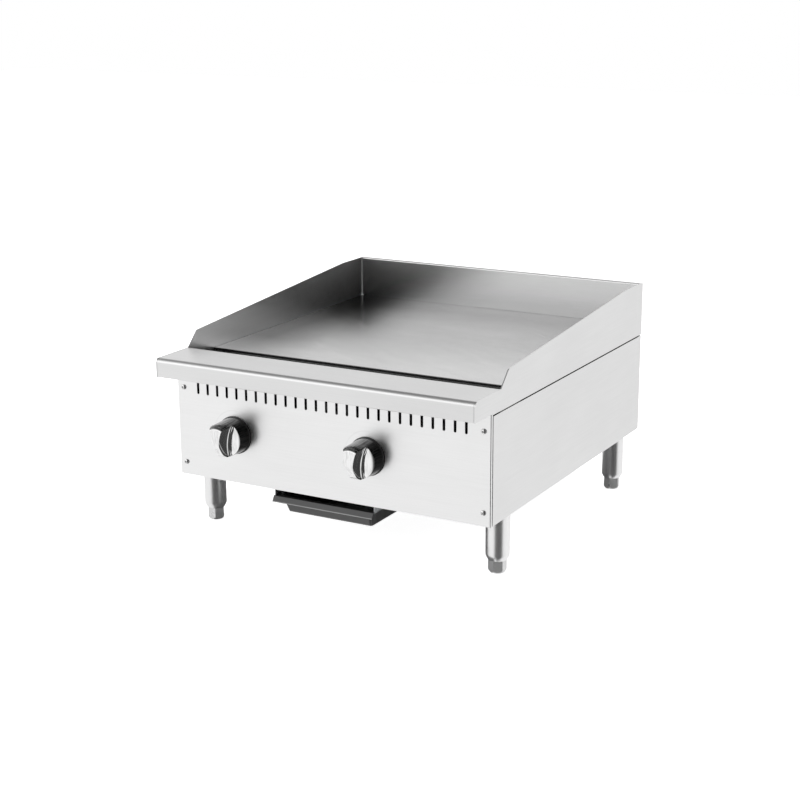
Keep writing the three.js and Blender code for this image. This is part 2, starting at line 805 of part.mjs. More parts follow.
const MANIFOLD_START = -215;
const MANIFOLD_END = INLET_X - 25;
const MANIFOLD_CAP = 8;

function gasManifold() {
  const along = (radius, x0, x1) => (
    cylinderX(radius, x0, x1, MANIFOLD_DEPTH, MANIFOLD_HEIGHT, 16)
  );
  const pipe = along(PIPE_RADIUS, MANIFOLD_START, MANIFOLD_END);
  const bore = along(PIPE_BORE, MANIFOLD_START + MANIFOLD_CAP, MANIFOLD_END + CLEAR);
  return combine(pipe, [], [bore]);
}

function gasInletPipe() {
  const run = (radius, reach) => {
    const bend = 18;
    const corner = MANIFOLD_DEPTH + bend;
    const route = Array.from({ length: 7 }, (_, i) => {
      const angle = -Math.PI / 2 + (i / 6) * Math.PI / 2;
      const x = INLET_X - bend + bend * Math.cos(angle);
      return new THREE.Vector3(x, corner + bend * Math.sin(angle), MANIFOLD_HEIGHT);
    });
    const start = new THREE.Vector3(MANIFOLD_END + GAP - reach, MANIFOLD_DEPTH, MANIFOLD_HEIGHT);
    const end = new THREE.Vector3(INLET_X, corner + 12, MANIFOLD_HEIGHT);
    const elbow = rod([start, ...route, end], radius, 12, 8);
    const straight = cylinderY(
      radius,
      corner + 6,
      BODY_DEPTH + INLET_STUB + reach,
      INLET_X,
      MANIFOLD_HEIGHT,
      12,
    );
    return toSolid(elbow).add(toSolid(straight));
  };
  return toGeometry(run(PIPE_RADIUS, 0).subtract(run(PIPE_BORE, 3)));
}

function pilotValve() {
  const bottom = MANIFOLD_HEIGHT + PIPE_RADIUS + GAP;
  const block = box(-7, 7, 85, 99, bottom, bottom + 16);
  const adjuster = cylinderY(3, 79, 86, 0, bottom + 9, 10);
  return combine(block, [adjuster]);
}

function pilotTube() {
  const start = MANIFOLD_HEIGHT + PIPE_RADIUS + GAP + 9;
  const route = [
    new THREE.Vector3(0, 99 + GAP, start),
    new THREE.Vector3(0, 115, start),
    new THREE.Vector3(0, 155, PILOT_HEIGHT),
    new THREE.Vector3(0, 190, PILOT_HEIGHT),
    new THREE.Vector3(0, 212, PILOT_HEIGHT + 6),
  ];
  const tip = cylinderY(5, 208, 228, 0, PILOT_HEIGHT + 6, 10);
  return combine(rod(route, PILOT_TUBE_RADIUS, 6, 10), [tip]);
}

KNOB_X.forEach((x, i) => {
  const side = SIDES[i][0];
  const control = new THREE.Group();
  control.position.set(x, 0, KNOB_HEIGHT);
  body.add(control);
  add(`knob_${side}`, knob(), chrome, control);
  add(`knob_bezel_${side}`, knobBezel(), blackPlastic, control);
  add(`valve_stem_${side}`, valveStem(), brass, control);
  add(`gas_valve_${side}`, gasValve(), brass, control);
  add(`burner_${side}`, burner(), burnerSteel, control);
  add(`air_shutter_${side}`, airShutter(), galvanised, control);
  const pilot = new THREE.Group();
  pilot.position.x = x + PILOT_OFFSET;
  body.add(pilot);
  add(`pilot_valve_${side}`, pilotValve(), brass, pilot);
  add(`pilot_tube_${side}`, pilotTube(), galvanised, pilot);
});
add('burner_rest', burnerRest(), galvanised);
add('gas_manifold', gasManifold(), blackIron);
add('gas_inlet_pipe', gasInletPipe(), blackIron);

// ---------------------------------------------------------------- drip tray

// A box with a wider top than bottom. Each rectangle is [x0, x1, y0, y1].
function hopper(top, bottom, z0, z1) {
  const geometry = new THREE.BoxGeometry(1, 1, 1);
  const position = geometry.attributes.position;
  for (let i = 0; i < position.count; i++) {
    const level = position.getZ(i) > 0 ? top : bottom;
    const x = level[position.getX(i) > 0 ? 1 : 0];
    const y = level[position.getY(i) > 0 ? 3 : 2];
    position.setXYZ(i, x, y, position.getZ(i) > 0 ? z1 : z0);
  }
  return geometry;
}

function dripTray() {
  const flange = 10;
  const lipOverhang = 2;
  const rimFront = PANEL_FRONT - 1;
  const top = [-87.5, 87.5, 62.5, TRAY_REAR - flange];
  const bottom = [-83.5, 83.5, 76.5, TRAY_REAR - flange - 5];
  const shrink = ([x0, x1, y0, y1]) => [x0 + SHEET, x1 - SHEET, y0 + SHEET, y1 - SHEET];
  const pan = hopper(top, bottom, TRAY_BOTTOM, TRAY_RIM_TOP);
  const inside = hopper(shrink(top), shrink(bottom), TRAY_BOTTOM + SHEET, TRAY_RIM_TOP + GAP);
  const rim = box(
    -TRAY_RIM_HALF,
    TRAY_RIM_HALF,
    rimFront,
    TRAY_REAR,
    TRAY_RIM_TOP - SHEET,
    TRAY_RIM_TOP,
  );
  const lipSection = sheetSection([
    [rimFront + 0.5, TRAY_RIM_TOP],
    [rimFront - 1.4, TRAY_RIM_TOP, 1],
    [rimFront - 6.8, TRAY_RIM_TOP - 9.6],
  ], SHEET);
  const lipHalf = TRAY_RIM_HALF + lipOverhang;
  const lip = extrudeX(lipSection, -lipHalf, lipHalf);
  return combine(pan, [rim, lip], [inside]).translate(TRAY_X, 0, 0);
}

function trayRail(sign) {
  const foot = RAIL_OUTER_HALF - RAIL_FOOT;
  const front = PANEL_FRONT + SHEET + GAP;
  const rear = TRAY_REAR + 12;
  const bottom = TRAY_RIM_TOP - 2 * SHEET - GAP;
  const top = BOTTOM_PANEL_Z - GAP;
  const section = sheetSection([
    [foot, bottom],
    [RAIL_OUTER_HALF, bottom],
    [RAIL_OUTER_HALF, top],
    [foot, top],
  ], SHEET);
  const rivetHole = cylinderX(1.6, foot, RAIL_OUTER_HALF + CLEAR, front + 20, bottom + 5.5, 8);
  const rail = combine(extrudeY(section, front, rear), [], [rivetHole]);
  return (sign < 0 ? mirrorX(rail) : rail).translate(TRAY_X, 0, 0);
}

add('drip_tray', dripTray(), darkSteel);
for (const [side, sign] of SIDES) {
  add(`tray_rail_${side}`, trayRail(sign), galvanised);
}

// ---------------------------------------------------------------- legs

const LEG_TOP = BODY_BOTTOM - GAP;
const STUD_RADIUS = 5;
const NUT_BOTTOM = BASE_RAIL_BOTTOM + RAIL_SHEET + GAP;
const FOOT_STUD_RADIUS = 6;

function leg() {
  const shoulder = LEG_BOTTOM + 11;
  const insertTop = LEG_BOTTOM + 14;
  const capBottom = LEG_TOP - 3;
  const studTop = LEG_TOP + 20;
  const bore = LEG_RADIUS - 1.8;
  const insertBore = FOOT_STUD_RADIUS + GAP;
  return turned([
    [0, capBottom],
    [bore, capBottom],
    [bore, insertTop],
    [insertBore, insertTop],
    [insertBore, LEG_BOTTOM],
    [LEG_RADIUS - 4, LEG_BOTTOM],
    [LEG_RADIUS, shoulder],
    [LEG_RADIUS, LEG_TOP],
    [STUD_RADIUS, LEG_TOP],
    [STUD_RADIUS, studTop],
    [0, studTop],
  ]);
}

function legNut() {
  const top = NUT_BOTTOM + 8;
  const nut = cylinderZ(9.2, NUT_BOTTOM, top, 0, 0, 6);
  const bore = cylinderZ(STUD_RADIUS + GAP, NUT_BOTTOM - CLEAR, top + CLEAR, 0, 0, 16);
  return combine(nut, [], [bore]);
}

function foot() {
  const top = LEG_BOTTOM - GAP;
  const hexagon = toSolid(cylinderZ(FOOT_CORNER_RADIUS, 0, top, 0, 0, 6));
  const envelope = toSolid(turned([
    [0, 0],
    [FOOT_CORNER_RADIUS - 3.6, 0],
    [FOOT_CORNER_RADIUS, 5],
    [FOOT_CORNER_RADIUS, top],
    [0, top],
  ]));
  const studTop = LEG_BOTTOM + 54;
  const stud = toSolid(cylinderZ(FOOT_STUD_RADIUS, top - OVERLAP, studTop, 0, 0, 16));
  return toGeometry(hexagon.intersect(envelope).add(stud));
}

// how far each foot happens to be turned in its thread
const FOOT_TURNS = { front_left: 59, front_right: 29, rear_left: 12, rear_right: 40 };

for (const [end, depth] of Object.entries(LEG_DEPTHS)) {
  for (const [side, sign] of SIDES) {
    const place = `${end}_${side}`;
    const corner = new THREE.Group();
    corner.position.set(sign * LEG_X, depth, 0);
    body.add(corner);
    add(`leg_${place}`, leg(), stainless, corner);
    add(`leg_nut_${place}`, legNut(), galvanised, corner);
    const footMesh = add(`foot_${place}`, foot(), galvanised, corner);
    footMesh.rotation.z = THREE.MathUtils.degToRad(FOOT_TURNS[place]);
  }
}

export default griddle;
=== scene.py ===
"""A countertop gas griddle in stainless steel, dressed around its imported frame. Metres, +Z up."""

import math

import bmesh
import bpy
from mathutils import Matrix, Vector


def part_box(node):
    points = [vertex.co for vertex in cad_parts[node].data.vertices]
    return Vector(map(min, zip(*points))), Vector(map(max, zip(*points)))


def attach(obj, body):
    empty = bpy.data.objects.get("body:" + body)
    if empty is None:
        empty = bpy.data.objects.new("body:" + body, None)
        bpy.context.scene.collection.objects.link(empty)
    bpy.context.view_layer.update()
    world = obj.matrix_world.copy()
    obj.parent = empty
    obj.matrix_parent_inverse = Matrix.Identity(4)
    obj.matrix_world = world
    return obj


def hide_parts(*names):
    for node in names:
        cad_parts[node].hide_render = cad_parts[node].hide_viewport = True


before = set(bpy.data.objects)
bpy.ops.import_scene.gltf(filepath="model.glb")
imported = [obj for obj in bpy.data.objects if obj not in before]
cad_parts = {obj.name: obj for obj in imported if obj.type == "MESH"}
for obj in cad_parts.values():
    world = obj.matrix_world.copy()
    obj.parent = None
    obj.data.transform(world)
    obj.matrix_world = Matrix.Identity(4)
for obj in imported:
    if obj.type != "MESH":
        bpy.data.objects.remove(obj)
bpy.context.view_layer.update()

MM = 0.001
ROOT = "frame"
SIDES = (("left", -1), ("right", 1))

# ---------------- places taken from the frame

def low(node):
    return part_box(node)[0]


def high(node):
    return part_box(node)[1]


def middle(node):
    return (low(node) + high(node)) / 2


FRONT = low("front_ledge").y
REAR = high("side_panel_right").y
HALF = high("side_panel_right").x
SEAM = low("splash_back").z
PANEL_TOP = high("front_panel").z
PANEL_FRONT = low("front_panel").y


def depth(millimetres):
    """The y of a place that lies so far behind the front of the bullnose."""
    return FRONT + millimetres * MM


SHEET = 1.5 * MM
SPLASH_SHEET = 2.0 * MM
EDGE = 0.25 * MM  # rounding of a deburred sheet edge
THROUGH = 5 * MM  # how far a cutter reaches past the sheet it cuts
SCREW_HOLE = 2.8 * MM
STUD_HOLE = 5.6 * MM

# ---------------- outlines

def bent_line(corners, steps=8):
    """A 2-D line through corners (u, v, radius), with an arc at each corner that has a radius."""
    line = []
    for index, corner in enumerate(corners):
        point = Vector(corner[:2])
        radius = corner[2] if len(corner) > 2 else 0.0
        if radius == 0.0:
            line.append(point)
            continue
        before = (Vector(corners[index - 1][:2]) - point).normalized()
        after = (Vector(corners[(index + 1) % len(corners)][:2]) - point).normalized()
        half = math.acos(max(-1.0, min(1.0, before.dot(after)))) / 2
        centre = point + (before + after).normalized() * (radius / math.sin(half))
        spoke = point + before * (radius / math.tan(half)) - centre
        side = before.x * after.y - before.y * after.x
        sweep = -math.copysign(math.pi - 2 * half, side)
        for step in range(steps + 1):
            angle = sweep * step / steps
            turn = Matrix(((math.cos(angle), -math.sin(angle)), (math.sin(angle), math.cos(angle))))
            line.append(centre + turn @ spoke)
    return line


def sheet_outline(corners, thickness, steps=8):
    """The section of a bent sheet: its outer face is the line, and the metal lies on its left."""
    outer = bent_line(corners, steps)
    inner = []
    for index, point in enumerate(outer):
        arriving = (point - outer[max(index - 1, 0)]).normalized()
        leaving = (outer[min(index + 1, len(outer) - 1)] - point).normalized()
        along = (arriving + leaving).normalized()
        single = arriving if arriving.length > 0 else leaving
        stretch = thickness / along.dot(single)
        inner.append(Vector((point.x - along.y * stretch, point.y + along.x * stretch)))
    return outer + inner[::-1]


def rounded_rectangle(u0, u1, v0, v1, radius):
    corners = ((u0, v0, radius), (u1, v0, radius), (u1, v1, radius), (u0, v1, radius))
    return bent_line(corners, 6)


def inset_plan(lo, hi, inset, radius):
    """A box seen from above, made smaller all round, with rounded corners."""
    return rounded_rectangle(lo.x + inset, hi.x - inset, lo.y + inset, hi.y - inset, radius)


def circle(radius, sides, u=0.0, v=0.0, turn=0.0):
    angles = [turn + 2 * math.pi * side / sides for side in range(sides)]
    return [Vector((u + radius * math.cos(a), v + radius * math.sin(a))) for a in angles]


# ---------------- meshes

def place(axis, u, v, along):
    """A 3-D point from an outline's (u, v) and its place along the axis."""
    if axis == "x":
        return Vector((along, u, v))
    if axis == "y":
        return Vector((u, along, v))
    return Vector((u, v, along))


def to_object(name, bm):
    bmesh.ops.recalc_face_normals(bm, faces=bm.faces)
    mesh = bpy.data.meshes.new(name)
    bm.to_mesh(mesh)
    bm.free()
    piece = bpy.data.objects.new(name, mesh)
    bpy.context.scene.collection.objects.link(piece)
    return piece


def loft(name, axis, levels):
    """A closed body through outlines with equal numbers of points, each (outline, place along)."""
    bm = bmesh.new()
    rings = []
    for outline, along in levels:
        rings.append([bm.verts.new(place(axis, p[0], p[1], along)) for p in outline])
    for ring, following in zip(rings, rings[1:]):
        for index in range(len(ring)):
            after = (index + 1) % len(ring)
            bm.faces.new((ring[index], ring[after], following[after], following[index]))
    bm.faces.new(rings[0][::-1])
    bm.faces.new(rings[-1])
    return to_object(name, bm)


def prism(name, axis, outline, start, end):
    return loft(name, axis, ((outline, start), (outline, end)))


def box(name, x0, x1, y0, y1, z0, z1):
    outline = [Vector(p) for p in ((x0, y0), (x1, y0), (x1, y1), (x0, y1))]
    return prism(name, "z", outline, z0, z1)


def turned(name, axis, profile, centre, sides):
    """A body of revolution: profile points are (radius, place along the axis)."""
    bm = bmesh.new()
    rings = []
    for radius, along in profile:
        if radius == 0:
            rings.append([bm.verts.new(place(axis, *centre, along))])
        else:
            ring = circle(radius, sides, *centre)
            rings.append([bm.verts.new(place(axis, p.x, p.y, along)) for p in ring])
    closed = rings + [rings[0]] if profile[0][0] > 0 else rings
    for ring, following in zip(closed, closed[1:]):
        for index in range(sides):
            after = (index + 1) % sides
            corners = [
                ring[index % len(ring)],
                ring[after % len(ring)],
                following[after % len(following)],
                following[index % len(following)],
            ]
            face = list(dict.fromkeys(corners))
            if len(face) > 2:
                bm.faces.new(face)
    return to_object(name, bm)


def tube(name, route, radius, inner, sides):
    """A pipe along a route, open at both ends."""
    bm = bmesh.new()
    normal = (route[1] - route[0]).orthogonal()
    outer_rings = []
    inner_rings = []
    for index, point in enumerate(route):
        ahead = route[min(index + 1, len(route) - 1)]
        behind = route[max(index - 1, 0)]
        tangent = (ahead - behind).normalized()
        normal = (normal - tangent * normal.dot(tangent)).normalized()
        across = tangent.cross(normal)
        spokes = [normal * p.x + across * p.y for p in circle(1.0, sides)]
        outer_rings.append([bm.verts.new(point + spoke * radius) for spoke in spokes])
        inner_rings.append([bm.verts.new(point + spoke * inner) for spoke in spokes])
    rings = [*outer_rings, *inner_rings[::-1], outer_rings[0]]
    for first, second in zip(rings, rings[1:]):
        for index in range(sides):
            after = (index + 1) % sides
            bm.faces.new((first[index], first[after], second[after], second[index]))
    return to_object(name, bm)


def thread(radius, root, start, end, pitch, taper=0.0):
    """The profile of a thread, drawn as rings. Its radius shrinks by the taper along it."""
    profile = []
    along = start
    while along < end - pitch:
        less = (along - start) * taper
        profile += [(radius - less, along), (root - less, along + pitch / 2)]
        along += pitch
    return profile


def bake_modifiers(piece):
    evaluated = piece.evaluated_get(bpy.context.evaluated_depsgraph_get())
    mesh = bpy.data.meshes.new_from_object(evaluated)
    piece.modifiers.clear()
    old = piece.data
    piece.data = mesh
    mesh.name = piece.name
    bpy.data.meshes.remove(old)


def boolean(piece, tools, operation):
    """Joins, cuts or intersects the piece with tools, which are used up."""
    for tool in tools:
        modifier = piece.modifiers.new("boolean", "BOOLEAN")
        modifier.operation = operation
        modifier.solver = "EXACT"
        modifier.object = tool
    bake_modifiers(piece)
    for tool in tools:
        bpy.data.objects.remove(tool)


def joined(name, pieces):
    """One object holding the meshes of several that don't touch each other."""
    bm = bmesh.new()
    for piece in pieces:
        bm.from_mesh(piece.data)
        bpy.data.objects.remove(piece)
    return to_object(name, bm)


def flipped(piece):
    """The piece mirrored in the plane x = 0."""
    bm = bmesh.new()
    bm.from_mesh(piece.data)
    bmesh.ops.scale(bm, vec=(-1, 1, 1), verts=bm.verts)
    name = piece.name
    bpy.data.objects.remove(piece)
    return to_object(name, bm)


SHARP = math.radians(32)


def dress(piece, material, nodes, body=ROOT, edge=EDGE, segments=2):
    """Rounds the edges, smooths the shading and hands the piece to the frame."""
    for polygon in piece.data.polygons:
        polygon.use_smooth = True
    piece.data.set_sharp_from_angle(angle=SHARP)
    if edge:
        bevel = piece.modifiers.new("edges", "BEVEL")
        bevel.width = edge
        bevel.segments = segments
        bevel.limit_method = "ANGLE"
        bevel.angle_limit = SHARP
        bevel.use_clamp_overlap = True
    weighted = piece.modifiers.new("shading", "WEIGHTED_NORMAL")
    weighted.keep_sharp = True
    piece.data.materials.clear()
    piece.data.materials.append(material)
    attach(piece, body)
    if nodes:
        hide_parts(*nodes)


# ---------------- materials

class NodeTree:
    """Short ways of adding nodes to a material or to the studio's light."""

    def __init__(self, tree):
        self.nodes = tree.nodes
        self.links = tree.links

    def add(self, kind, inputs=None, **settings):
        node = self.nodes.new("ShaderNode" + kind)
        for key, value in settings.items():
            setattr(node, key, value)
        for key, value in (inputs or {}).items():
            self.feed(value, node.inputs[key])
        return node

    def feed(self, value, socket):
        if isinstance(value, bpy.types.NodeSocket):
            self.links.new(value, socket)
        else:
            socket.default_value = value

    def math(self, operation, *values):
        return self.add("Math", dict(enumerate(values)), operation=operation).outputs["Value"]

    def total(self, first, *others):
        for value in others:
            first = self.math("ADD", first, value)
        return first

    def remap(self, value, from_low, from_high, to_low, to_high, shape="LINEAR"):
        sockets = ("Value", "From Min", "From Max", "To Min", "To Max")
        inputs = dict(zip(sockets, (value, from_low, from_high, to_low, to_high)))
        return self.add("MapRange", inputs, interpolation_type=shape).outputs["Result"]

    def parts(self, vector):
        return self.add("SeparateXYZ", {"Vector": vector}).outputs


class Shader(NodeTree):
    """A Principled material whose patterns lie in the object's own space."""

    def __init__(self, name, **sockets):
        self.material = bpy.data.materials.new(name)
        self.material.use_nodes = True
        super().__init__(self.material.node_tree)
        self.surface = self.nodes["Principled BSDF"]
        for socket, value in sockets.items():
            self.surface.inputs[socket.replace("_", " ")].default_value = value
        self.where = self.add("TexCoord").outputs["Object"]

    def noise(self, scale, detail=4.0, roughness=0.55, stretch=(1, 1, 1), distortion=0.0, where=None):
        place_in = self.where if where is None else where
        mapping = self.add("Mapping", {"Vector": place_in, "Scale": stretch})
        inputs = {
            "Vector": mapping.outputs["Vector"],
            "Scale": scale,
            "Detail": detail,
            "Roughness": roughness,
            "Distortion": distortion,
        }
        return self.add("TexNoise", inputs).outputs["Fac"]

    def swing(self, noise, reach, amount):
        """A noise of 0.5 - reach to 0.5 + reach becomes -amount to amount."""
        return self.remap(noise, 0.5 - reach, 0.5 + reach, -amount, amount)

    def mix(self, factor, first, second):
        node = self.add("Mix", data_type="RGBA")
        for name, value in (("Factor", factor), ("A", first), ("B", second)):
            self.feed(value, [i for i in node.inputs if i.name == name and i.enabled][0])
        return [o for o in node.outputs if o.enabled][0]

    def facing(self):
        """The x, y and z parts of the way that the surface faces."""
        return self.parts(self.add("NewGeometry").outputs["Normal"])

    def from_axis(self, x, z):
        """The place counted from an axis along y, and its distance from that axis."""
        about = self.add("Mapping", {"Vector": self.where, "Location": (-x, 0, -z)})
        inputs = {0: about.outputs["Vector"], 1: (1, 0, 1)}
        flat = self.add("VectorMath", inputs, operation="MULTIPLY").outputs["Vector"]
        return flat, self.add("VectorMath", {0: flat}, operation="LENGTH").outputs["Value"]

    def set(self, socket, value):
        self.links.new(value, self.surface.inputs[socket])

    def rough(self, base, *changes):
        self.set("Roughness", self.total(*changes, base))

    def bump(self, height, distance):
        inputs = {"Height": height, "Distance": distance, "Strength": 1.0}
        self.set("Normal", self.add("Bump", inputs).outputs["Normal"])


def grey(level, warm=0.0):
    return (level + warm, level, level - warm, 1.0)


def drawn_out(axis, share):
    """The scales of a pattern that is drawn out along one axis."""
    return tuple(share if letter == axis else 1 for letter in "xyz")


ARC_RADIUS = 43 * MM
ARC_HALF_WIDTH = 1.0 * MM
ARC_DARKER = 0.035
TONE = 0.12  # how far a brushed sheet may stray from its own grey


def etched_arc(shader, x, z):
    """One where the panel carries a knob's faint quarter arc, nothing elsewhere."""
    flat, radius = shader.from_axis(x, z)
    off_line = shader.math("ABSOLUTE", shader.math("SUBTRACT", radius, ARC_RADIUS))
    line = shader.remap(off_line, ARC_HALF_WIDTH, 1.6 * ARC_HALF_WIDTH, 1.0, 0.0)
    across = shader.parts(flat)
    leftwards = shader.remap(across["X"], 4 * MM, 8 * MM, 1.0, 0.0)
    upwards = shader.remap(across["Z"], -4 * MM, 2 * MM, 0.0, 1.0)
    return shader.math("MULTIPLY", line, shader.math("MULTIPLY", leftwards, upwards))


def brushed(name, level, grain, roughness, contrast=0.012, arcs=(), metallic=1.0):
    """Satin stainless sheet. The grain runs along the axis named, in long fine lines."""
    shader = Shader(name, Metallic=metallic)
    fine = shader.noise(620, 2, 0.5, stretch=drawn_out(grain, 0.012))
    streaks = shader.noise(70, 3, 0.5, stretch=drawn_out(grain, 0.15))
    clouds = shader.noise(5, 2, 0.5)
    smudges = shader.noise(18, 4, 0.6)
    tone = shader.total(
        shader.swing(fine, 0.2, contrast),
        shader.swing(clouds, 0.15, 0.012),
        shader.swing(streaks, 0.15, contrast / 2),
    )
    for x, z in arcs:
        mark = shader.math("MULTIPLY", etched_arc(shader, x, z), ARC_DARKER)
        tone = shader.math("SUBTRACT", tone, mark)
    factor = shader.remap(tone, -TONE, TONE, 0.0, 1.0)
    shader.set("Base Color", shader.mix(factor, grey(level - TONE), grey(level + TONE)))
    smudged = shader.remap(smudges, 0.4, 0.7, 0.0, 0.012)
    shader.rough(roughness, shader.swing(fine, 0.2, 0.006), smudged)
    return shader.material


def ground_plate(name):
    """The cooking plate: a ground bright top and dark mill-scaled edges, with polishing swirls, and a
    painted dark reflection of the splashes towards the rear and the left.
    """
    shader = Shader(name, Metallic=1.0)
    lines = shader.noise(1500, 3, 0.6, stretch=(0.03, 1, 1))
    turned_place = shader.add("Mapping", {"Vector": shader.where, "Rotation": (0, 0, 0.55)})
    strokes = shader.noise(26, 4, 0.55, (0.22, 1.6, 1), 0.5, turned_place.outputs["Vector"])
    swirls = shader.noise(8, 3, 0.5, (0.5, 1, 1), 1.6)
    clouds = shader.noise(3.2, 3, 0.5)
    tone = shader.total(
        shader.swing(lines, 0.2, 0.03),
        shader.remap(strokes, 0.35, 0.7, -0.03, 0.05),
        shader.swing(swirls, 0.15, 0.02),
        shader.swing(clouds, 0.15, 0.02),
    )
    factor = shader.remap(tone, -0.15, 0.15, 0.0, 1.0)
    ground = shader.mix(factor, grey(0.46), grey(0.74))
    # painted reflection: a dark tone standing for the splashes mirrored in the top, laid towards the
    # rear and the rear left
    painted_splash_reflection = shader.mix(factor, grey(0.05), grey(0.19))
    across = shader.parts(shader.where)
    towards_rear = shader.remap(across["Y"], -0.16, 0.26, 0.0, 0.95)
    towards_left = shader.remap(across["X"], -0.12, -0.26, 0.0, 1.0)
    behind_ledge = shader.remap(across["Y"], -0.26, -0.08, 0.0, 1.0)
    rear_left = shader.math("MULTIPLY", towards_left, behind_ledge)
    top = shader.mix(shader.math("MAXIMUM", towards_rear, rear_left), ground, painted_splash_reflection)
    mill_scale = shader.mix(shader.noise(160, 5, 0.65), grey(0.10), grey(0.24))
    is_top = shader.remap(shader.facing()["Z"], 0.6, 0.9, 0.0, 1.0)
    shader.set("Base Color", shader.mix(is_top, mill_scale, top))
    rub_marks_and_painted_highlight = shader.remap(strokes, 0.4, 0.7, 0.0, 0.05)
    shader.rough(0.21, shader.remap(lines, 0.3, 0.7, -0.02, 0.03), rub_marks_and_painted_highlight)
    shader.bump(strokes, 0.006 * MM)
    return shader.material


def screw_plating(name):
    shader = Shader(name, Metallic=1.0)
    film = shader.noise(90, 4, 0.6)
    haze = shader.noise(900, 2, 0.5)
    shader.set("Base Color", shader.mix(film, grey(0.69), grey(0.74)))
    shader.rough(0.10, shader.remap(film, 0.35, 0.7, 0.0, 0.05))
    shader.bump(haze, 0.004 * MM)
    return shader.material


def knob_chrome(name, x, z):
    """Bright plating on the grip and the face, and a painted dark reflection, streaked along the axis,
    round the rim and along the up-facing edges.
    """
    shader = Shader(name, Metallic=1.0)
    radius = shader.from_axis(x, z)[1]
    # painted reflection: the rim's side and the up-facing edges get a dark tone standing for the dark
    # studio mirrored in the chrome
    is_side = shader.remap(shader.math("ABSOLUTE", shader.facing()["Y"]), 0.35, 0.6, 1.0, 0.0)
    is_rim = shader.remap(radius, 26.5 * MM, 28.5 * MM, 0.0, 1.0)
    rim = shader.math("MULTIPLY", is_side, is_rim)
    own_normal = shader.parts(shader.add("TexCoord").outputs["Normal"])
    painted_top_edge_reflection = shader.remap(own_normal["Z"], 0.25, 0.45, 0.0, 1.0)
    dark = shader.math("MAXIMUM", rim, shader.math("MULTIPLY", painted_top_edge_reflection, 0.9))
    axial_streaks = shader.noise(420, 3, 0.6, stretch=drawn_out("y", 0.06))
    strokes = shader.noise(240, 3, 0.6, stretch=drawn_out("z", 0.16))
    film = shader.noise(90, 4, 0.6)
    # the dark, streaked tone of the painted reflection
    painted_rim_reflection = shader.mix(shader.remap(axial_streaks, 0.35, 0.65, 0.0, 1.0), grey(0.04), grey(0.18))
    bright = shader.mix(shader.remap(strokes, 0.42, 0.66, 0.0, 1.0), grey(0.9), grey(0.72))
    shader.set("Base Color", shader.mix(dark, bright, painted_rim_reflection))
    filmed = shader.remap(film, 0.35, 0.7, 0.0, 0.04)
    shader.rough(0.04, filmed, shader.math("MULTIPLY", rim, 0.12))
    shader.bump(film, 0.01 * MM)
    return shader.material


def galvanised(name):
    """Zinc-coated sheet with its spangle of crystal patches."""
    shader = Shader(name, Metallic=0.9)
    cells = shader.add("TexVoronoi", {"Vector": shader.where, "Scale": 110.0})
    spangle = shader.parts(cells.outputs["Color"])["X"]
    dirt = shader.noise(30, 5, 0.6)
    shader.set("Base Color", shader.mix(spangle, grey(0.44, -0.01), grey(0.57, -0.01)))
    soiled = shader.remap(dirt, 0.4, 0.7, 0.0, 0.1)
    shader.rough(0.36, shader.math("MULTIPLY", spangle, 0.14), soiled)
    shader.bump(dirt, 0.03 * MM)
    return shader.material


def dull_steel(name, dark, light, roughness, metallic, scale=35.0, warm=0.0, wear_and_painted_highlight=None):
    """Plain or heat-tinted steel with cloudy colour and a fine tooth, and a given change of colour laid
    over it if it has one, such as painted highlights.
    """
    shader = Shader(name, Metallic=metallic)
    clouds = shader.noise(scale, 5, 0.6)
    tooth = shader.noise(1500, 3, 0.6)
    colour = shader.mix(clouds, grey(dark, warm), grey(light, warm))
    shader.set("Base Color", wear_and_painted_highlight(shader, colour) if wear_and_painted_highlight else colour)
    shader.rough(roughness, shader.remap(clouds, 0.35, 0.7, -0.05, 0.08))
    shader.bump(shader.math("ADD", tooth, shader.math("MULTIPLY", clouds, 0.5)), 0.03 * MM)
    return shader.material


LIP_DROP = 9.8 * MM  # how far the tray's lip hangs below its rim


def painted_tray_highlights(shader, colour):
    """The tray gets painted highlights along its lower edges and painted light, somewhat less, on its
    two ends, streaked along x.
    """
    highlight_streaks = shader.noise(160, 4, 0.6, stretch=drawn_out("x", 0.12))
    rub_marks_and_painted_highlight = shader.mix(highlight_streaks, grey(0.20), grey(0.48))
    pan_bottom = low("drip_tray").z
    lip_bottom = high("drip_tray").z - LIP_DROP
    lip_front = low("drip_tray").y + 3.4 * MM
    place_in = shader.parts(shader.where)
    pan_edge = shader.remap(place_in["Z"], pan_bottom + 1.4 * MM, pan_bottom + 2.4 * MM, 1.0, 0.0)
    lip_edge = shader.remap(place_in["Z"], lip_bottom + 0.8 * MM, lip_bottom + 1.8 * MM, 1.0, 0.0)
    on_lip = shader.remap(place_in["Y"], lip_front, lip_front + MM, 1.0, 0.0)
    edge = shader.math("MAXIMUM", pan_edge, shader.math("MULTIPLY", lip_edge, on_lip))
    facing = shader.facing()
    edge = shader.math("MULTIPLY", edge, shader.remap(facing["Z"], 0.7, 0.9, 1.0, 0.0))
    sideways = shader.math("MULTIPLY", facing["X"], facing["X"])
    painted_end_light = shader.remap(sideways, 0.3, 0.7, 0.0, 0.35)
    # painted highlight on the lower edges and painted light on the ends, lighter than the dark steel
    painted_highlight_mask = shader.math("MAXIMUM", shader.math("MULTIPLY", edge, 0.85), painted_end_light)
    return shader.mix(painted_highlight_mask, colour, rub_marks_and_painted_highlight)


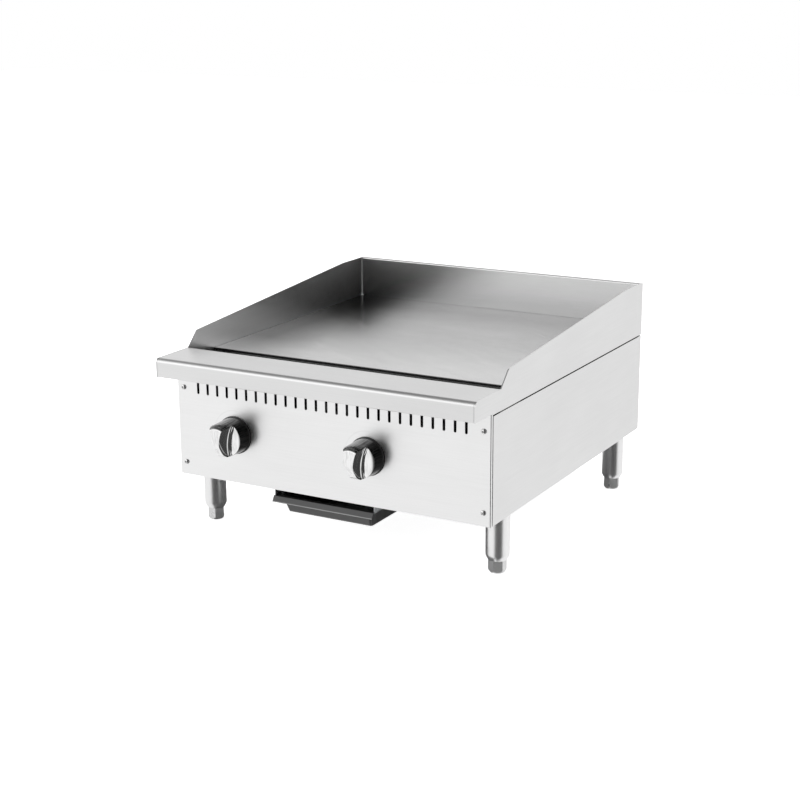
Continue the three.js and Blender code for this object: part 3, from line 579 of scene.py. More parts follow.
def turned_brass(name):
    """Turned brass with fine tool marks and a little tarnish."""
    shader = Shader(name, Metallic=1.0)
    marks = shader.noise(900, 3, 0.6, stretch=drawn_out("y", 0.05))
    tarnish = shader.noise(60, 5, 0.65)
    shader.set("Base Color", shader.mix(tarnish, (0.45, 0.30, 0.10, 1), (0.72, 0.53, 0.24, 1)))
    shader.rough(0.25, shader.remap(tarnish, 0.4, 0.7, 0.12, 0.0))
    shader.bump(marks, 0.01 * MM)
    return shader.material


def black_moulding(name):
    """Black heat-resistant moulding with a fine sparked texture."""
    shader = Shader(name, Metallic=0.0)
    grainy = shader.noise(1400, 3, 0.6)
    wear_and_painted_highlight = shader.noise(40, 4, 0.6)
    shader.set("Base Color", shader.mix(wear_and_painted_highlight, grey(0.012), grey(0.0288)))
    shader.set("Roughness", shader.remap(wear_and_painted_highlight, 0.3, 0.7, 0.3, 0.45))
    shader.bump(grainy, 0.02 * MM)
    return shader.material


STEM_RADIUS = 4 * MM


def knob_axis(side):
    """The x and z of the line that a knob turns about."""
    return middle("knob_" + side).x, low("valve_stem_" + side).z + STEM_RADIUS


KNOB_AXES = (knob_axis("left"), knob_axis("right"))
PANEL_STEEL = brushed("front_panel_steel", 0.87, "x", 0.31, arcs=KNOB_AXES)
SHEET_ALONG_Y = brushed("stainless_along_y", 0.75, "y", 0.30)
SPLASH_ALONG_X = brushed("splash_steel_along_x", 0.85, "x", 0.25, 0.014)
LEDGE_STEEL = brushed("ledge_steel", 0.77, "x", 0.35)
# painted shade: the trough's steel is a darker grey than the other sheets, standing for the shade it
# lies in
TROUGH_PAINTED_SHADE_STEEL = brushed("painted_shade_trough_steel", 0.40, "x", 0.36)
LEG_STEEL = brushed("leg_steel", 0.88, "z", 0.31, 0.02, metallic=0.9)
PLATE_STEEL = ground_plate("ground_plate_steel")
SCREW_CHROME = screw_plating("screw_chrome")
ZINC = galvanised("galvanised_sheet")
FOOT_STEEL = dull_steel("zinc_plated_foot", 0.72, 0.84, 0.32, 0.6)
# the dark tray steel carries painted highlights on its edges and ends
TRAY_STEEL = dull_steel("dark_tray_steel", 0.07, 0.12, 0.36, 0.75, wear_and_painted_highlight=painted_tray_highlights)
BURNER_STEEL = dull_steel("heat_tinted_burner_steel", 0.16, 0.34, 0.5, 0.8, 25.0, 0.015)
IRON = dull_steel("black_pipe_lacquer", 0.02, 0.045, 0.42, 0.3)
BRASS = turned_brass("turned_brass")
PLASTIC = black_moulding("black_moulding")
WELD = dull_steel("weld_metal", 0.86, 0.97, 0.3, 0.3, 400.0)

# ---------------- griddle top

def griddle_plate():
    lo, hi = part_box("griddle_plate")
    plate = box("griddle_plate_ground", lo.x, hi.x, lo.y, hi.y, lo.z, hi.z)
    dress(plate, PLATE_STEEL, ["griddle_plate"], edge=0.8 * MM, segments=3)


def side_splash(side, sign):
    lo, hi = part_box("splash_" + side)
    ledge_top = high("front_ledge").z
    ledge_rear = high("front_ledge").y
    bullnose_bottom = low("front_ledge").z
    notch = depth(62)
    slope_foot = SEAM + 62 * MM
    flange_width = 10 * MM
    flange_drop = 15.3 * MM
    outline = bent_line((
        (lo.y, bullnose_bottom),
        (lo.y, ledge_top, 8 * MM),
        (ledge_rear, ledge_top, 4 * MM),
        (depth(119), slope_foot, 9 * MM),
        (depth(619), hi.z, 6 * MM),
        (hi.y, hi.z),
        (hi.y, lo.z),
        (notch, lo.z),
        (notch, bullnose_bottom),
    ), 10)
    inner = HALF - SPLASH_SHEET
    splash = prism("splash_" + side + "_sheet", "x", outline, inner, HALF)
    flange_x = (inner - flange_width, inner + MM)
    flange = box("flange", *flange_x, hi.y - SPLASH_SHEET, hi.y, lo.z, hi.z - flange_drop)
    boolean(splash, [flange], "UNION")
    if sign < 0:
        splash = flipped(splash)
    dress(splash, SHEET_ALONG_Y, ["splash_" + side])


def back_splash():
    lo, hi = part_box("splash_back")
    section = sheet_outline((
        (hi.y, hi.z - 15 * MM),
        (hi.y, hi.z, 2.5 * MM),
        (lo.y, hi.z, 2.5 * MM),
        (lo.y, lo.z),
    ), SPLASH_SHEET)
    splash = prism("splash_back_sheet", "x", section, lo.x, hi.x)
    dress(splash, SPLASH_ALONG_X, ["splash_back"])


def corner_weld(side, sign):
    """The ground weld bead in a rear inner corner, with a blob where it meets the plate."""
    inner = low("splash_back").y
    x = sign * (HALF - SPLASH_SHEET)
    start = high("griddle_plate").z + 0.4 * MM
    end = high("splash_back").z - 4 * MM
    plain_radius = 0.9 * MM
    blob_size = 1.7 * MM
    blob_reach = 2.2 * MM
    embedded = 1.6 * MM  # the most that the bead may reach into the side splash
    levels = []
    count = 90
    for index in range(count + 1):
        along = start + (end - start) * index / count
        ripple = 0.12 * MM * math.sin(index * 1.7)
        blob = blob_size * math.exp(-((along - start) / blob_reach) ** 2)
        radius = plain_radius + ripple + blob
        shift = max(0.2 * MM, radius - embedded)
        levels.append((circle(radius, 12, x - sign * shift, inner - 0.1 * MM), along))
    bead = loft("corner_weld_" + side, "z", levels)
    dress(bead, WELD, [], edge=0)


def front_ledge():
    lo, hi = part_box("front_ledge")
    section = sheet_outline((
        (hi.y, lo.z + 8 * MM),
        (hi.y, hi.z, 3 * MM),
        (lo.y, hi.z, 8 * MM),
        (lo.y, lo.z, 2.2 * MM),
        (depth(80), lo.z),
    ), SPLASH_SHEET, 12)
    ledge = prism("front_ledge_sheet", "x", section, lo.x, hi.x)
    dress(ledge, LEDGE_STEEL, ["front_ledge"])


def grease_trough():
    lo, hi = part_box("grease_trough")
    rear_top = hi.z - 7 * MM
    section = sheet_outline((
        (lo.y, hi.z),
        (lo.y, lo.z, 3 * MM),
        (hi.y, lo.z, 3 * MM),
        (hi.y, rear_top),
    ), SHEET)
    trough = prism("grease_trough_sheet", "x", section, lo.x, hi.x)
    ends = []
    grow = SHEET / 2
    for _, sign in SIDES:
        edges = sorted((sign * (hi.x - SHEET), sign * hi.x))
        ends.append(box("end", *edges, lo.y + grow, hi.y - grow, lo.z + grow, rear_top))
    boolean(trough, ends, "UNION")
    hole = inset_plan(*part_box("grease_chute"), 11 * MM, 4 * MM)
    boolean(trough, [prism("hole", "z", hole, lo.z - THROUGH, lo.z + THROUGH)], "DIFFERENCE")
    dress(trough, TROUGH_PAINTED_SHADE_STEEL, ["grease_trough"])


def grease_chute():
    lo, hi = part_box("grease_chute")
    flange = 8 * MM
    corner = 5 * MM
    walls = inset_plan(lo, hi, flange, corner)
    inside = inset_plan(lo, hi, flange + SHEET, corner - SHEET)
    rim = inset_plan(lo, hi, 0.0, 6 * MM)
    chute = prism("grease_chute_duct", "z", walls, lo.z, hi.z - SHEET / 2)
    boolean(chute, [prism("rim", "z", rim, hi.z - SHEET, hi.z)], "UNION")
    boolean(chute, [prism("inside", "z", inside, lo.z - MM, hi.z + MM)], "DIFFERENCE")
    dress(chute, ZINC, ["grease_chute"])


# ---------------- body panels

SLOT_COUNT = 27
SLOT_PITCH = 20.05 * MM
SLOT_WIDTH = 4.9 * MM
SLOT_LENGTH = 28 * MM
SLOT_TOP = PANEL_TOP - 9.7 * MM
FLANGE_HALF = HALF - 43 * MM
FLANGE_DEPTH = 17 * MM


def slot_cutter(x, y0, y1):
    radius = SLOT_WIDTH / 2
    top = SLOT_TOP - radius
    bottom = SLOT_TOP - SLOT_LENGTH + radius
    arc = [math.pi * step / 8 for step in range(9)]
    outline = [Vector((x + radius * math.cos(a), top + radius * math.sin(a))) for a in arc]
    outline += [Vector((x - radius * math.cos(a), bottom - radius * math.sin(a))) for a in arc]
    return prism("slot", "y", outline, y0, y1)


def hole_cutter(axis, radius, u, v, start, end, sides=32):
    return prism("hole", axis, circle(radius, sides, u, v), start, end)


def screw_names(end, sides=("left", "right")):
    return [f"{end}_screw_{side}_{level}" for side in sides for level in ("lower", "upper")]


def screw_holes(names, y0, y1):
    centres = [middle(name) for name in names]
    return [hole_cutter("y", SCREW_HOLE, c.x, c.z, y0, y1, 20) for c in centres]


def stud_holes(sides, z0, z1):
    centres = [middle(f"leg_{end}_{side}") for end in ("front", "rear") for side in sides]
    return [hole_cutter("z", STUD_HOLE, c.x, c.y, z0, z1) for c in centres]


def front_panel():
    lo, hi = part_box("front_panel")
    side_return = 4 * MM
    plan = sheet_outline((
        (lo.x, lo.y + side_return),
        (lo.x, lo.y, 2 * MM),
        (hi.x, lo.y, 2 * MM),
        (hi.x, lo.y + side_return),
    ), SHEET)
    panel = prism("front_panel_sheet", "z", plan, lo.z, hi.z)
    rail_gap = 3 * MM
    tray_left = low("tray_rail_left").x - rail_gap
    tray_right = high("tray_rail_right").x + rail_gap
    spans = (
        (-FLANGE_HALF, FLANGE_HALF, hi.z - SHEET),
        (-FLANGE_HALF, tray_left, lo.z),
        (tray_right, FLANGE_HALF, lo.z),
    )
    root = lo.y + SHEET / 2
    flanges = [
        box("flange", x0, x1, root, lo.y + FLANGE_DEPTH, z, z + SHEET) for x0, x1, z in spans
    ]
    boolean(panel, flanges, "UNION")
    stem_hole = 6 * MM
    y0 = lo.y - THROUGH
    y1 = lo.y + 3 * MM
    cutters = [
        slot_cutter((index - (SLOT_COUNT - 1) / 2) * SLOT_PITCH, y0, y1)
        for index in range(SLOT_COUNT)
    ]
    for side, _ in SIDES:
        cutters.append(hole_cutter("y", stem_hole, *knob_axis(side), y0, y1))
    cutters += screw_holes(screw_names("front"), y0, y1)
    boolean(panel, [joined("cutters", cutters)], "DIFFERENCE")
    dress(panel, PANEL_STEEL, ["front_panel"])


def side_panel(side, sign):
    lo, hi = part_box("side_panel_right")
    plan = sheet_outline((
        (hi.x - 20 * MM, lo.y),
        (hi.x, lo.y, 1.2 * MM),
        (hi.x, hi.y, 2 * MM),
        (hi.x - 15 * MM, hi.y),
    ), SHEET)
    seam_gap = 0.5 * MM
    panel = prism("side_panel_" + side + "_sheet", "z", plan, lo.z, hi.z - seam_gap)
    grow = SHEET / 2
    flange = box("flange", lo.x, hi.x - grow, lo.y + grow, hi.y - grow, lo.z, lo.z + SHEET)
    boolean(panel, [flange], "UNION")
    cutters = screw_holes(screw_names("front", ["right"]), lo.y - THROUGH, lo.y + THROUGH)
    cutters += screw_holes(screw_names("back", ["right"]), hi.y - THROUGH, hi.y + THROUGH)
    cutters += stud_holes(["right"], lo.z - THROUGH, lo.z + THROUGH)
    boolean(panel, [joined("cutters", cutters)], "DIFFERENCE")
    if sign < 0:
        panel = flipped(panel)
    dress(panel, SHEET_ALONG_Y, ["side_panel_" + side])


def louvre(u, v, half_length, half_width):
    """The outline of a vent with all but round ends."""
    radius = half_width - 0.1 * MM
    return rounded_rectangle(u - half_length, u + half_length, v - half_width, v + half_width, radius)


def back_panel():
    lo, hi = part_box("back_panel")
    front = hi.y - SHEET
    panel = box("back_panel_sheet", lo.x, hi.x, front, hi.y, lo.z, hi.z)
    flange_x = (low("splash_back").x, high("splash_back").x)
    flange = box("flange", *flange_x, lo.y, front + SHEET / 2, hi.z - SHEET, hi.z)
    boolean(panel, [flange], "UNION")
    y0 = front - 4 * MM
    y1 = hi.y + THROUGH
    cutters = []
    for x in (-195 * MM, -65 * MM, 65 * MM, 195 * MM):
        for drop in (24 * MM, 44 * MM, 64 * MM):
            outline = louvre(x, hi.z - drop, 52 * MM, 4 * MM)
            cutters.append(prism("slot", "y", outline, y0, y1))
    cutters += screw_holes(screw_names("back"), y0, y1)
    pipe_radius = 10.7 * MM
    inlet = (high("gas_inlet_pipe").x - pipe_radius, middle("gas_inlet_pipe").z)
    cutters.append(hole_cutter("y", pipe_radius + 2 * MM, *inlet, y0, y1, 40))
    boolean(panel, [joined("cutters", cutters)], "DIFFERENCE")
    dress(panel, ZINC, ["back_panel"])


def bottom_panel():
    lo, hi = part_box("bottom_panel")
    panel = box("bottom_panel_sheet", lo.x, hi.x, lo.y, hi.y, lo.z, hi.z)
    z0 = lo.z - THROUGH
    z1 = hi.z + THROUGH
    opening = inset_plan(*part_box("grease_chute"), 6 * MM, 4 * MM)
    cutters = [prism("hole", "z", opening, z0, z1)]
    for x in (-200 * MM, 200 * MM):
        for row in range(6):
            outline = louvre(x, depth(250 + row * 64), 45 * MM, 6 * MM)
            cutters.append(prism("slot", "z", outline, z0, z1))
    cutters += stud_holes(["left", "right"], z0, z1)
    boolean(panel, [joined("cutters", cutters)], "DIFFERENCE")
    dress(panel, ZINC, ["bottom_panel"])


def panel_screw(name, outward):
    """A domed cross-recess screw. Outward is -1 for a screw in the front, 1 in the back."""
    lo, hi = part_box(name)
    axis = Vector((middle(name).x, middle(name).z))
    tip, crown = (lo.y, hi.y) if outward > 0 else (hi.y, lo.y)
    head_radius = 4.6 * MM
    head_edge = 0.8 * MM
    dome_rise = 2.0 * MM
    shank_radius = 2.5 * MM
    seat = crown - outward * (head_edge + dome_rise)
    profile = [(0.0, tip), (2.0 * MM, tip), (shank_radius, tip + outward * MM), (shank_radius, seat)]
    profile += [(head_radius - 0.1 * MM, seat), (head_radius, seat + outward * 0.2 * MM)]
    for step in range(8):
        angle = math.pi / 2 * step / 8
        rise = head_edge + dome_rise * math.sin(angle)
        profile.append((head_radius * math.cos(angle), seat + outward * rise))
    profile.append((0.0, crown))
    screw = turned(name + "_body", "y", profile, axis, 32)
    recess_floor = crown - outward * 2.2 * MM
    recess_mouth = crown + outward * 0.2 * MM
    narrowing = 0.35
    for turn in (20, 110):
        angle = math.radians(turn + 37 * (axis.x > 0))
        reach = Vector((math.cos(angle), math.sin(angle))) * 3.0 * MM
        width = Vector((-math.sin(angle), math.cos(angle))) * 0.65 * MM
        corners = [reach + width, -reach + width, -reach - width, reach - width]
        outer = [axis + corner for corner in corners]
        inner = [axis + corner * narrowing for corner in corners]
        tool = loft("recess", "y", ((inner, recess_floor), (outer, recess_mouth)))
        boolean(screw, [tool], "DIFFERENCE")
    dress(screw, SCREW_CHROME, [name], edge=0.12 * MM)


# ---------------- controls

def knob_grip_outline(flare):
    """The grip seen from the front: widest at its pointer end and waisted below the middle."""
    waist = 5.7 * MM + flare
    waist_height = -10 * MM
    bow = 150 * MM
    rows = 28
    top = 34 * MM
    right = []
    for row in range(rows + 1):
        z = -top + 2 * top * row / rows
        right.append(Vector((waist + (z - waist_height) ** 2 / bow, z)))
    return right + [Vector((-point.x, point.y)) for point in reversed(right)]


def knob(side):
    """A chromed knob: a domed drum with a waisted grip that stands out furthest at the top."""
    lo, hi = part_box("knob_" + side)
    x, z = knob_axis(side)
    rear = hi.y
    rim_y = rear - 24.4 * MM
    nose = lo.y
    fillet = 4.5 * MM
    rim = 30.6 * MM
    rear_radius = 32 * MM
    face_radius = rim - 0.8 * MM
    face_edge = rim_y - 0.1 * MM
    dome_radius = 140 * MM

    def about(outline):
        return [Vector((x + p.x, z + p.y)) for p in outline]

    profile = [
        (0.0, rear),
        (rear_radius - 0.8 * MM, rear),
        (rear_radius, rear - 0.8 * MM),
        (rim, rim_y + 0.7 * MM),
        (rim - 0.25 * MM, rim_y + 0.2 * MM),
        (face_radius, face_edge),
    ]
    rings = 10
    for ring in range(1, rings + 1):
        radius = face_radius * (1 - ring / rings)
        rise = (rim ** 2 - radius ** 2) / (2 * dome_radius)
        profile.append((radius, face_edge - rise))
    drum = turned("knob_" + side + "_casting", "y", profile, (x, z), 96)

    fillet_foot = rim_y - 1.8 * MM
    levels = [(about(knob_grip_outline(fillet)), rim_y + 0.6 * MM)]
    for step in range(9):
        angle = math.pi / 2 * step / 8
        flare = fillet * (1 - math.sin(angle)) + 0.5 * MM
        forward = fillet * (1 - math.cos(angle))
        levels.append((about(knob_grip_outline(flare)), fillet_foot - forward))
    levels.append((about(knob_grip_outline(-0.6 * MM)), nose - 3 * MM))
    grip = loft("grip", "y", levels)

    envelope = turned("envelope", "y", [
        (0.0, rear - 5 * MM),
        (31.2 * MM, rear - 5 * MM),
        (rim, rim_y),
        (30.2 * MM, nose + 12 * MM),
        (29.5 * MM, nose + 7.5 * MM),
        (28.6 * MM, nose + 4.6 * MM),
        (27.2 * MM, nose + 2.3 * MM),
        (25.4 * MM, nose + 0.8 * MM),
        (23.6 * MM, nose + 0.1 * MM),
        (22.0 * MM, nose),
        (0.0, nose),
    ], (x, z), 96)
    boolean(grip, [envelope], "INTERSECT")

    side_view = bent_line((
        (rear, z + 36 * MM),
        (nose - 5 * MM, z + 36 * MM),
        (nose, z + 20 * MM, 60 * MM),
        (nose + 0.6 * MM, z - 6 * MM, 22 * MM),
        (nose + 11.5 * MM, z - 24.5 * MM, 14 * MM),
        (rim_y - 2 * MM, z - 31.5 * MM),
        (rear, z - 31.5 * MM),
    ), 10)
    cap = prism("cap", "x", side_view, x - 20 * MM, x + 20 * MM)
    boolean(grip, [cap], "INTERSECT")
    boolean(drum, [grip], "UNION")
    bore = hole_cutter("y", STEM_RADIUS + 0.3 * MM, x, z, rear - 18 * MM, rear + THROUGH)
    boolean(drum, [bore], "DIFFERENCE")
    plating = knob_chrome("knob_chrome_" + side, x, z)
    dress(drum, plating, ["knob_" + side], "knob_" + side, 0.9 * MM, 4)


def knob_bezel(side):
    lo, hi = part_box("knob_bezel_" + side)
    centre = middle("knob_bezel_" + side)
    radius = (hi.x - lo.x) / 2
    ring = turned("knob_bezel_" + side + "_ring", "y", [
        (6 * MM, hi.y),
        (radius - 0.3 * MM, hi.y),
        (radius, hi.y - 0.3 * MM),
        (radius, lo.y + 1.6 * MM),
        (radius - 0.4 * MM, lo.y + 0.7 * MM),
        (radius - 1.2 * MM, lo.y + 0.1 * MM),
        (radius - 2.0 * MM, lo.y),
        (radius - 5 * MM, lo.y),
        (radius - 5.4 * MM, lo.y + 0.8 * MM),
        (7 * MM, lo.y + 0.8 * MM),
        (6 * MM, lo.y + 1.2 * MM),
    ], (centre.x, centre.z), 96)
    dress(ring, PLASTIC, ["knob_bezel_" + side], edge=0)


# ---------------- gas line and burners

def gas_inlet_pipe():
    lo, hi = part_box("gas_inlet_pipe")
    z = middle("gas_inlet_pipe").z
    radius = (hi.z - lo.z) / 2
    x = hi.x - radius
    y = lo.y + radius
    bore = 7.8 * MM
    start = hi.y - 27 * MM
    plan = bent_line(((lo.x, y), (x, y, 18 * MM), (x, start + MM)), 16)
    pipe = tube("gas_inlet_pipe_bend", [Vector((p.x, p.y, z)) for p in plan], radius, bore, 48)
    taper = 1 / 32
    first_ring = start + 4 * MM
    crest = radius - 4 * MM * taper
    profile = [(bore, start), (radius, start)]
    profile += thread(crest, crest - 0.75 * MM, first_ring, hi.y, 1.81 * MM, taper)
    profile += [(radius - 1.9 * MM, hi.y - 0.3 * MM), (radius - 2.2 * MM, hi.y), (bore, hi.y)]
    boolean(pipe, [turned("threaded_end", "y", profile, (x, z), 48)], "UNION")
    dress(pipe, IRON, ["gas_inlet_pipe"], edge=0)


def kept_nodes():
    """CAD pieces whose shape is right: they only get their finish."""
    finishes = (
        (BRASS, ("valve_stem", "gas_valve", "pilot_valve")),
        (ZINC, ("base_rail", "pilot_tube", "air_shutter")),
        (IRON, ("plate_support",)),
        (BURNER_STEEL, ("burner",)),
        (FOOT_STEEL, ("leg_nut_front", "leg_nut_rear")),
    )
    for material, stems in finishes:
        for stem in stems:
            for side, _ in SIDES:
                give(f"{stem}_{side}", material)
    for node, material in (("firewall", ZINC), ("burner_rest", ZINC), ("gas_manifold", IRON)):
        give(node, material)


def give(node, material):
    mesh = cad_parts[node].data
    mesh.materials.clear()
    mesh.materials.append(material)


# ---------------- drip tray

def drip_tray():
    lo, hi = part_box("drip_tray")
    x = middle("drip_tray").x
    front = PANEL_FRONT
    rim_half = 96.3 * MM
    top_half = 87.5 * MM
    bottom_half = 83.5 * MM
    top_corner = 6 * MM
    corner = 5 * MM
    rim_corner = 2 * MM
    top = hi.z
    under_rim = top - SHEET
    inner_floor = lo.z + SHEET
    pan_rings = (
        # half width, front edge, inset at the rear, corner radius, height
        (bottom_half - 2 * MM, front + 20.5 * MM, 17 * MM, corner - 2 * MM, lo.z),
        (bottom_half - 0.6 * MM, front + 19.1 * MM, 15.6 * MM, corner - 0.6 * MM, lo.z + 0.6 * MM),
        (bottom_half, front + 18.3 * MM, 15 * MM, corner, lo.z + 2 * MM),
        (top_half, front + 4.5 * MM, 10 * MM, top_corner, under_rim),
        (rim_half, front - MM, 0, rim_corner, under_rim),
        (rim_half, front - MM, 0, rim_corner, top),
        (top_half - SHEET, front + 6 * MM, 11.5 * MM, corner, top),
        (bottom_half - SHEET, front + 19.8 * MM, 16.5 * MM, corner - MM, inner_floor + 1.5 * MM),
        (bottom_half - 2 * SHEET, front + 21.3 * MM, 18 * MM, corner - 2 * MM, inner_floor),
    )
    levels = [
        (rounded_rectangle(x - half, x + half, y, hi.y - inset, radius), z)
        for half, y, inset, radius, z in pan_rings
    ]
    pan = loft("drip_tray_pan", "z", levels)
    lip_half = rim_half + 2 * MM
    section = sheet_outline((
        (front - 0.4 * MM, top),
        (front - 2.4 * MM, top, MM),
        (front - 7.3 * MM, top - 8.6 * MM, 2 * MM),
        (front - 7.8 * MM, top - 9.6 * MM),
    ), SHEET)
    lip = prism("lip", "x", section, x - lip_half, x + lip_half)
    boolean(pan, [lip], "UNION")
    dress(pan, TRAY_STEEL, ["drip_tray"], "drip_tray", 0.3 * MM)


def tray_rail(side, sign):
    lo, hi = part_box("tray_rail_right")
    section = sheet_outline((
        (lo.x, lo.z),
        (hi.x, lo.z, 1.6 * MM),
        (hi.x, hi.z, 1.6 * MM),
        (lo.x, hi.z),
    ), SHEET, 6)
    rail = prism("tray_rail_" + side + "_sheet", "y", section, lo.y, hi.y)
    hole = hole_cutter("x", 1.6 * MM, lo.y + 20 * MM, lo.z + 5.5 * MM, lo.x, hi.x + THROUGH, 24)
    boolean(rail, [hole], "DIFFERENCE")
    if sign < 0:
        centre = middle("drip_tray").x
        rail = flipped(rail)
        rail.data.transform(Matrix.Translation((2 * centre, 0, 0)))
    dress(rail, ZINC, ["tray_rail_" + side])


# ---------------- legs

def leg(name):
    lo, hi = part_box(name)
    centre = middle(name)
    radius = (hi.x - lo.x) / 2
    taper_start = lo.z + 0.8 * MM
    shoulder = lo.z + 11 * MM
    neck_in = 4 * MM
    stud_foot = hi.z - 20 * MM
    stud_radius = 5 * MM
    inner_radius = radius - 1.8 * MM
    inner_top = stud_foot - 3 * MM
    socket_radius = 6.3 * MM
    socket_top = lo.z + 14 * MM
    profile = [
        (0.0, inner_top),
        (inner_radius, inner_top),
        (inner_radius, socket_top),
        (socket_radius, socket_top),
        (socket_radius, lo.z),
        (radius - 4.8 * MM, lo.z),
    ]
    for step in range(9):
        fraction = step / 8
        narrowing = neck_in * (1 - math.sin(fraction * math.pi / 2))
        profile.append((radius - narrowing, taper_start + (shoulder - taper_start) * fraction))
    profile += [(radius, stud_foot - 0.4 * MM), (radius - 0.4 * MM, stud_foot), (stud_radius, stud_foot)]
    profile += thread(stud_radius, 4.3 * MM, stud_foot + 2 * MM, hi.z, 1.5 * MM)
    profile += [(stud_radius, hi.z - 0.6 * MM), (4.4 * MM, hi.z), (0.0, hi.z)]
    piece = turned(name + "_tube", "z", profile, (centre.x, centre.y), 72)
    dress(piece, LEG_STEEL, [name], edge=0)


# how far each foot happens to be screwed round, in degrees
FOOT_TURNS = {"front_left": 59, "front_right": 29, "rear_left": 12, "rear_right": 40}


def foot(place_name):
    name = "foot_" + place_name
    lo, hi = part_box(name)
    leg_lo, leg_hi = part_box("leg_" + place_name)
    centre = ((leg_lo.x + leg_hi.x) / 2, (leg_lo.y + leg_hi.y) / 2)
    corner = 15.6 * MM
    stud_radius = 6 * MM
    top = leg_lo.z - 0.3 * MM
    hexagon = circle(corner, 6, *centre, math.radians(FOOT_TURNS[place_name]))
    body = prism(name + "_body", "z", hexagon, lo.z, top)
    envelope = turned("envelope", "z", [
        (0.0, lo.z),
        (corner - 3.9 * MM, lo.z),
        (corner - 3.3 * MM, lo.z + 0.3 * MM),
        (corner - 0.2 * MM, lo.z + 4.6 * MM),
        (corner, lo.z + 5.4 * MM),
        (corner, top - 0.8 * MM),
        (corner - 1.2 * MM, top),
        (0.0, top),
    ], centre, 72)
    boolean(body, [envelope], "INTERSECT")
    profile = [(0.0, top - 2 * MM), (stud_radius, top - 2 * MM)]
    profile += thread(stud_radius, 5.2 * MM, top + MM, hi.z, 1.75 * MM)
    profile += [(stud_radius, hi.z - 0.8 * MM), (5.2 * MM, hi.z), (0.0, hi.z)]
    boolean(body, [turned("stud", "z", profile, centre, 40)], "UNION")
    dress(body, FOOT_STEEL, [name], name, 0.25 * MM)


# ---------------- building it all

griddle_plate()
back_splash()
front_ledge()
grease_trough()
grease_chute()
front_panel()
back_panel()
bottom_panel()
gas_inlet_pipe()
drip_tray()
kept_nodes()
for side_name, side_sign in SIDES:
    side_splash(side_name, side_sign)
    corner_weld(side_name, side_sign)
    side_panel(side_name, side_sign)
    knob(side_name)
    knob_bezel(side_name)
    tray_rail(side_name, side_sign)
for screw in screw_names("front"):
    panel_screw(screw, -1)
for screw in screw_names("back"):
    panel_screw(screw, 1)
for leg_place in FOOT_TURNS:
    leg("leg_" + leg_place)
    foot(leg_place)

# ---------------- stage, light and camera

def flat_stage(name, x0, x1, y0, y1, z, material):
    bm = bmesh.new()
    corners = ((x0, y0), (x1, y0), (x1, y1), (x0, y1))
    bm.faces.new([bm.verts.new((x, y, z)) for x, y in corners])
    piece = to_object(name, bm)
    piece.data.materials.append(material)
    return piece


def mottled(name, dark, light, roughness):
    shader = Shader(name, Roughness=roughness)
    shader.set("Base Color", shader.mix(shader.noise(3, 3, 0.5), grey(dark), grey(light)))
    return shader


def floor():
    """A plain pale floor, bright enough to be all but white. Metal sees the studio below it."""
    half = 9.0
    glow = 0.88
    shader = mottled("pale_floor", 0.9, 0.93, 0.8)
    shader.surface.inputs["Specular IOR Level"].default_value = 0.1
    shader.surface.inputs["Emission Color"].default_value = (1, 1, 1, 1)
    seen = shader.add("LightPath").outputs["Is Camera Ray"]
    shader.set("Emission Strength", shader.math("MULTIPLY", seen, glow))
    piece = flat_stage("floor", -half, half, -half, half, 0.0, shader.material)
    piece.visible_glossy = False


def floor_shade():
    """The shaded floor under the body, there for the reflections in the legs and the tray."""
    inset = 25 * MM
    height = 0.3 * MM
    material = mottled("shaded_floor", 0.3, 0.34, 0.9).material
    across = HALF - inset
    piece = flat_stage(
        "floor_shade", -across, across, PANEL_FRONT + inset, REAR - inset, height, material
    )
    piece.visible_camera = False
    piece.visible_diffuse = False
    piece.visible_shadow = False


def ceiling_softbox():
    height = 3.0
    data = bpy.data.lights.new("ceiling_softbox", "AREA")
    data.shape = "SQUARE"
    data.size = 2.6
    data.energy = 98
    light = bpy.data.objects.new("ceiling_softbox", data)
    bpy.context.scene.collection.objects.link(light)
    light.location = (0.0, 0.1, height)
    light.visible_glossy = False


DARK_AZIMUTH = 35  # degrees from the front towards the right
DARK_WIDTH = (30, 46)  # the dark stretch ends softly, so far to each side of its middle
GLOW_AZIMUTH = -40
GLOW_WIDTH = (15, 60)


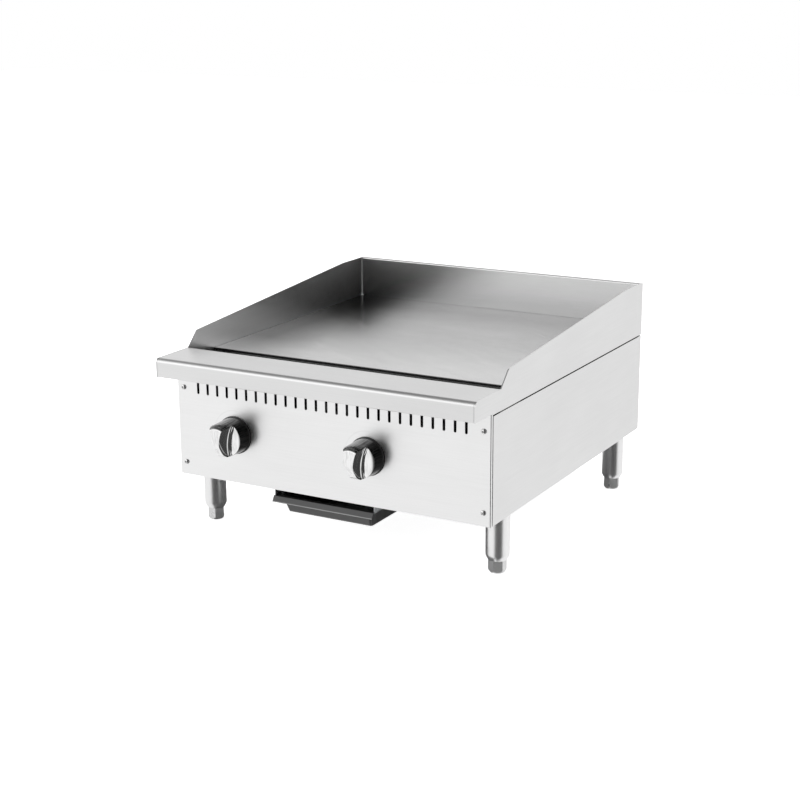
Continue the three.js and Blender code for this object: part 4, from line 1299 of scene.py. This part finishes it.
def sector(tree, towards, middle_azimuth, width, inside, outside):
    """A value that changes with the azimuth, counted from the front towards the right."""
    azimuth = tree.math("ARCTAN2", towards["X"], tree.math("MULTIPLY", towards["Y"], -1.0))
    away = tree.math("ABSOLUTE", tree.math("SUBTRACT", azimuth, math.radians(middle_azimuth)))
    inner, outer = (math.radians(angle) for angle in width)
    return tree.remap(away, inner, outer, inside, outside, "SMOOTHSTEP")


def studio():
    """White walls with one dark stretch and one brighter one, and a dim ceiling."""
    world = bpy.data.worlds.new("studio")
    bpy.context.scene.world = world
    world.use_nodes = True
    tree = NodeTree(world.node_tree)
    towards = tree.parts(tree.add("TexCoord").outputs["Generated"])
    wall = sector(tree, towards, DARK_AZIMUTH, DARK_WIDTH, 0.0, 0.98)
    dark_wall = tree.remap(towards["Z"], -0.04, 0.06, 0.07, 0.01, "SMOOTHSTEP")
    wall = tree.math("MAXIMUM", wall, dark_wall)
    glow = sector(tree, towards, GLOW_AZIMUTH, GLOW_WIDTH, 0.6, 0.0)
    above_horizon = tree.remap(towards["Z"], 0.0, 0.2, 0.0, 1.0, "SMOOTHSTEP")
    glow = tree.math("MULTIPLY_ADD", glow, above_horizon, 1.0)
    ceiling = tree.remap(towards["Z"], 0.45, 0.8, 1.0, 0.2, "SMOOTHSTEP")
    light = tree.math("MULTIPLY", tree.math("MULTIPLY", wall, glow), ceiling)
    seen = tree.add("LightPath").outputs["Is Camera Ray"]
    background = tree.nodes["Background"].inputs
    tree.feed(tree.math("MAXIMUM", light, seen), background["Strength"])
    background["Color"].default_value = (1, 1, 1, 1)


def camera():
    azimuth = math.radians(29.28)
    elevation = math.radians(15.30)
    roll = math.radians(-0.34)
    stand = Vector((1.378, -2.512, 0.985))
    data = bpy.data.cameras.new("camera")
    data.lens = 73.18
    data.sensor_width = 36.0
    data.clip_end = 50.0
    piece = bpy.data.objects.new("camera", data)
    bpy.context.scene.collection.objects.link(piece)
    turn = Matrix.Rotation(azimuth, 4, "Z") @ Matrix.Rotation(math.pi / 2 - elevation, 4, "X")
    piece.matrix_world = Matrix.Translation(stand) @ turn @ Matrix.Rotation(roll, 4, "Z")
    bpy.context.scene.camera = piece


floor()
floor_shade()
studio()
ceiling_softbox()
camera()
bpy.context.scene.view_settings.view_transform = "Standard"
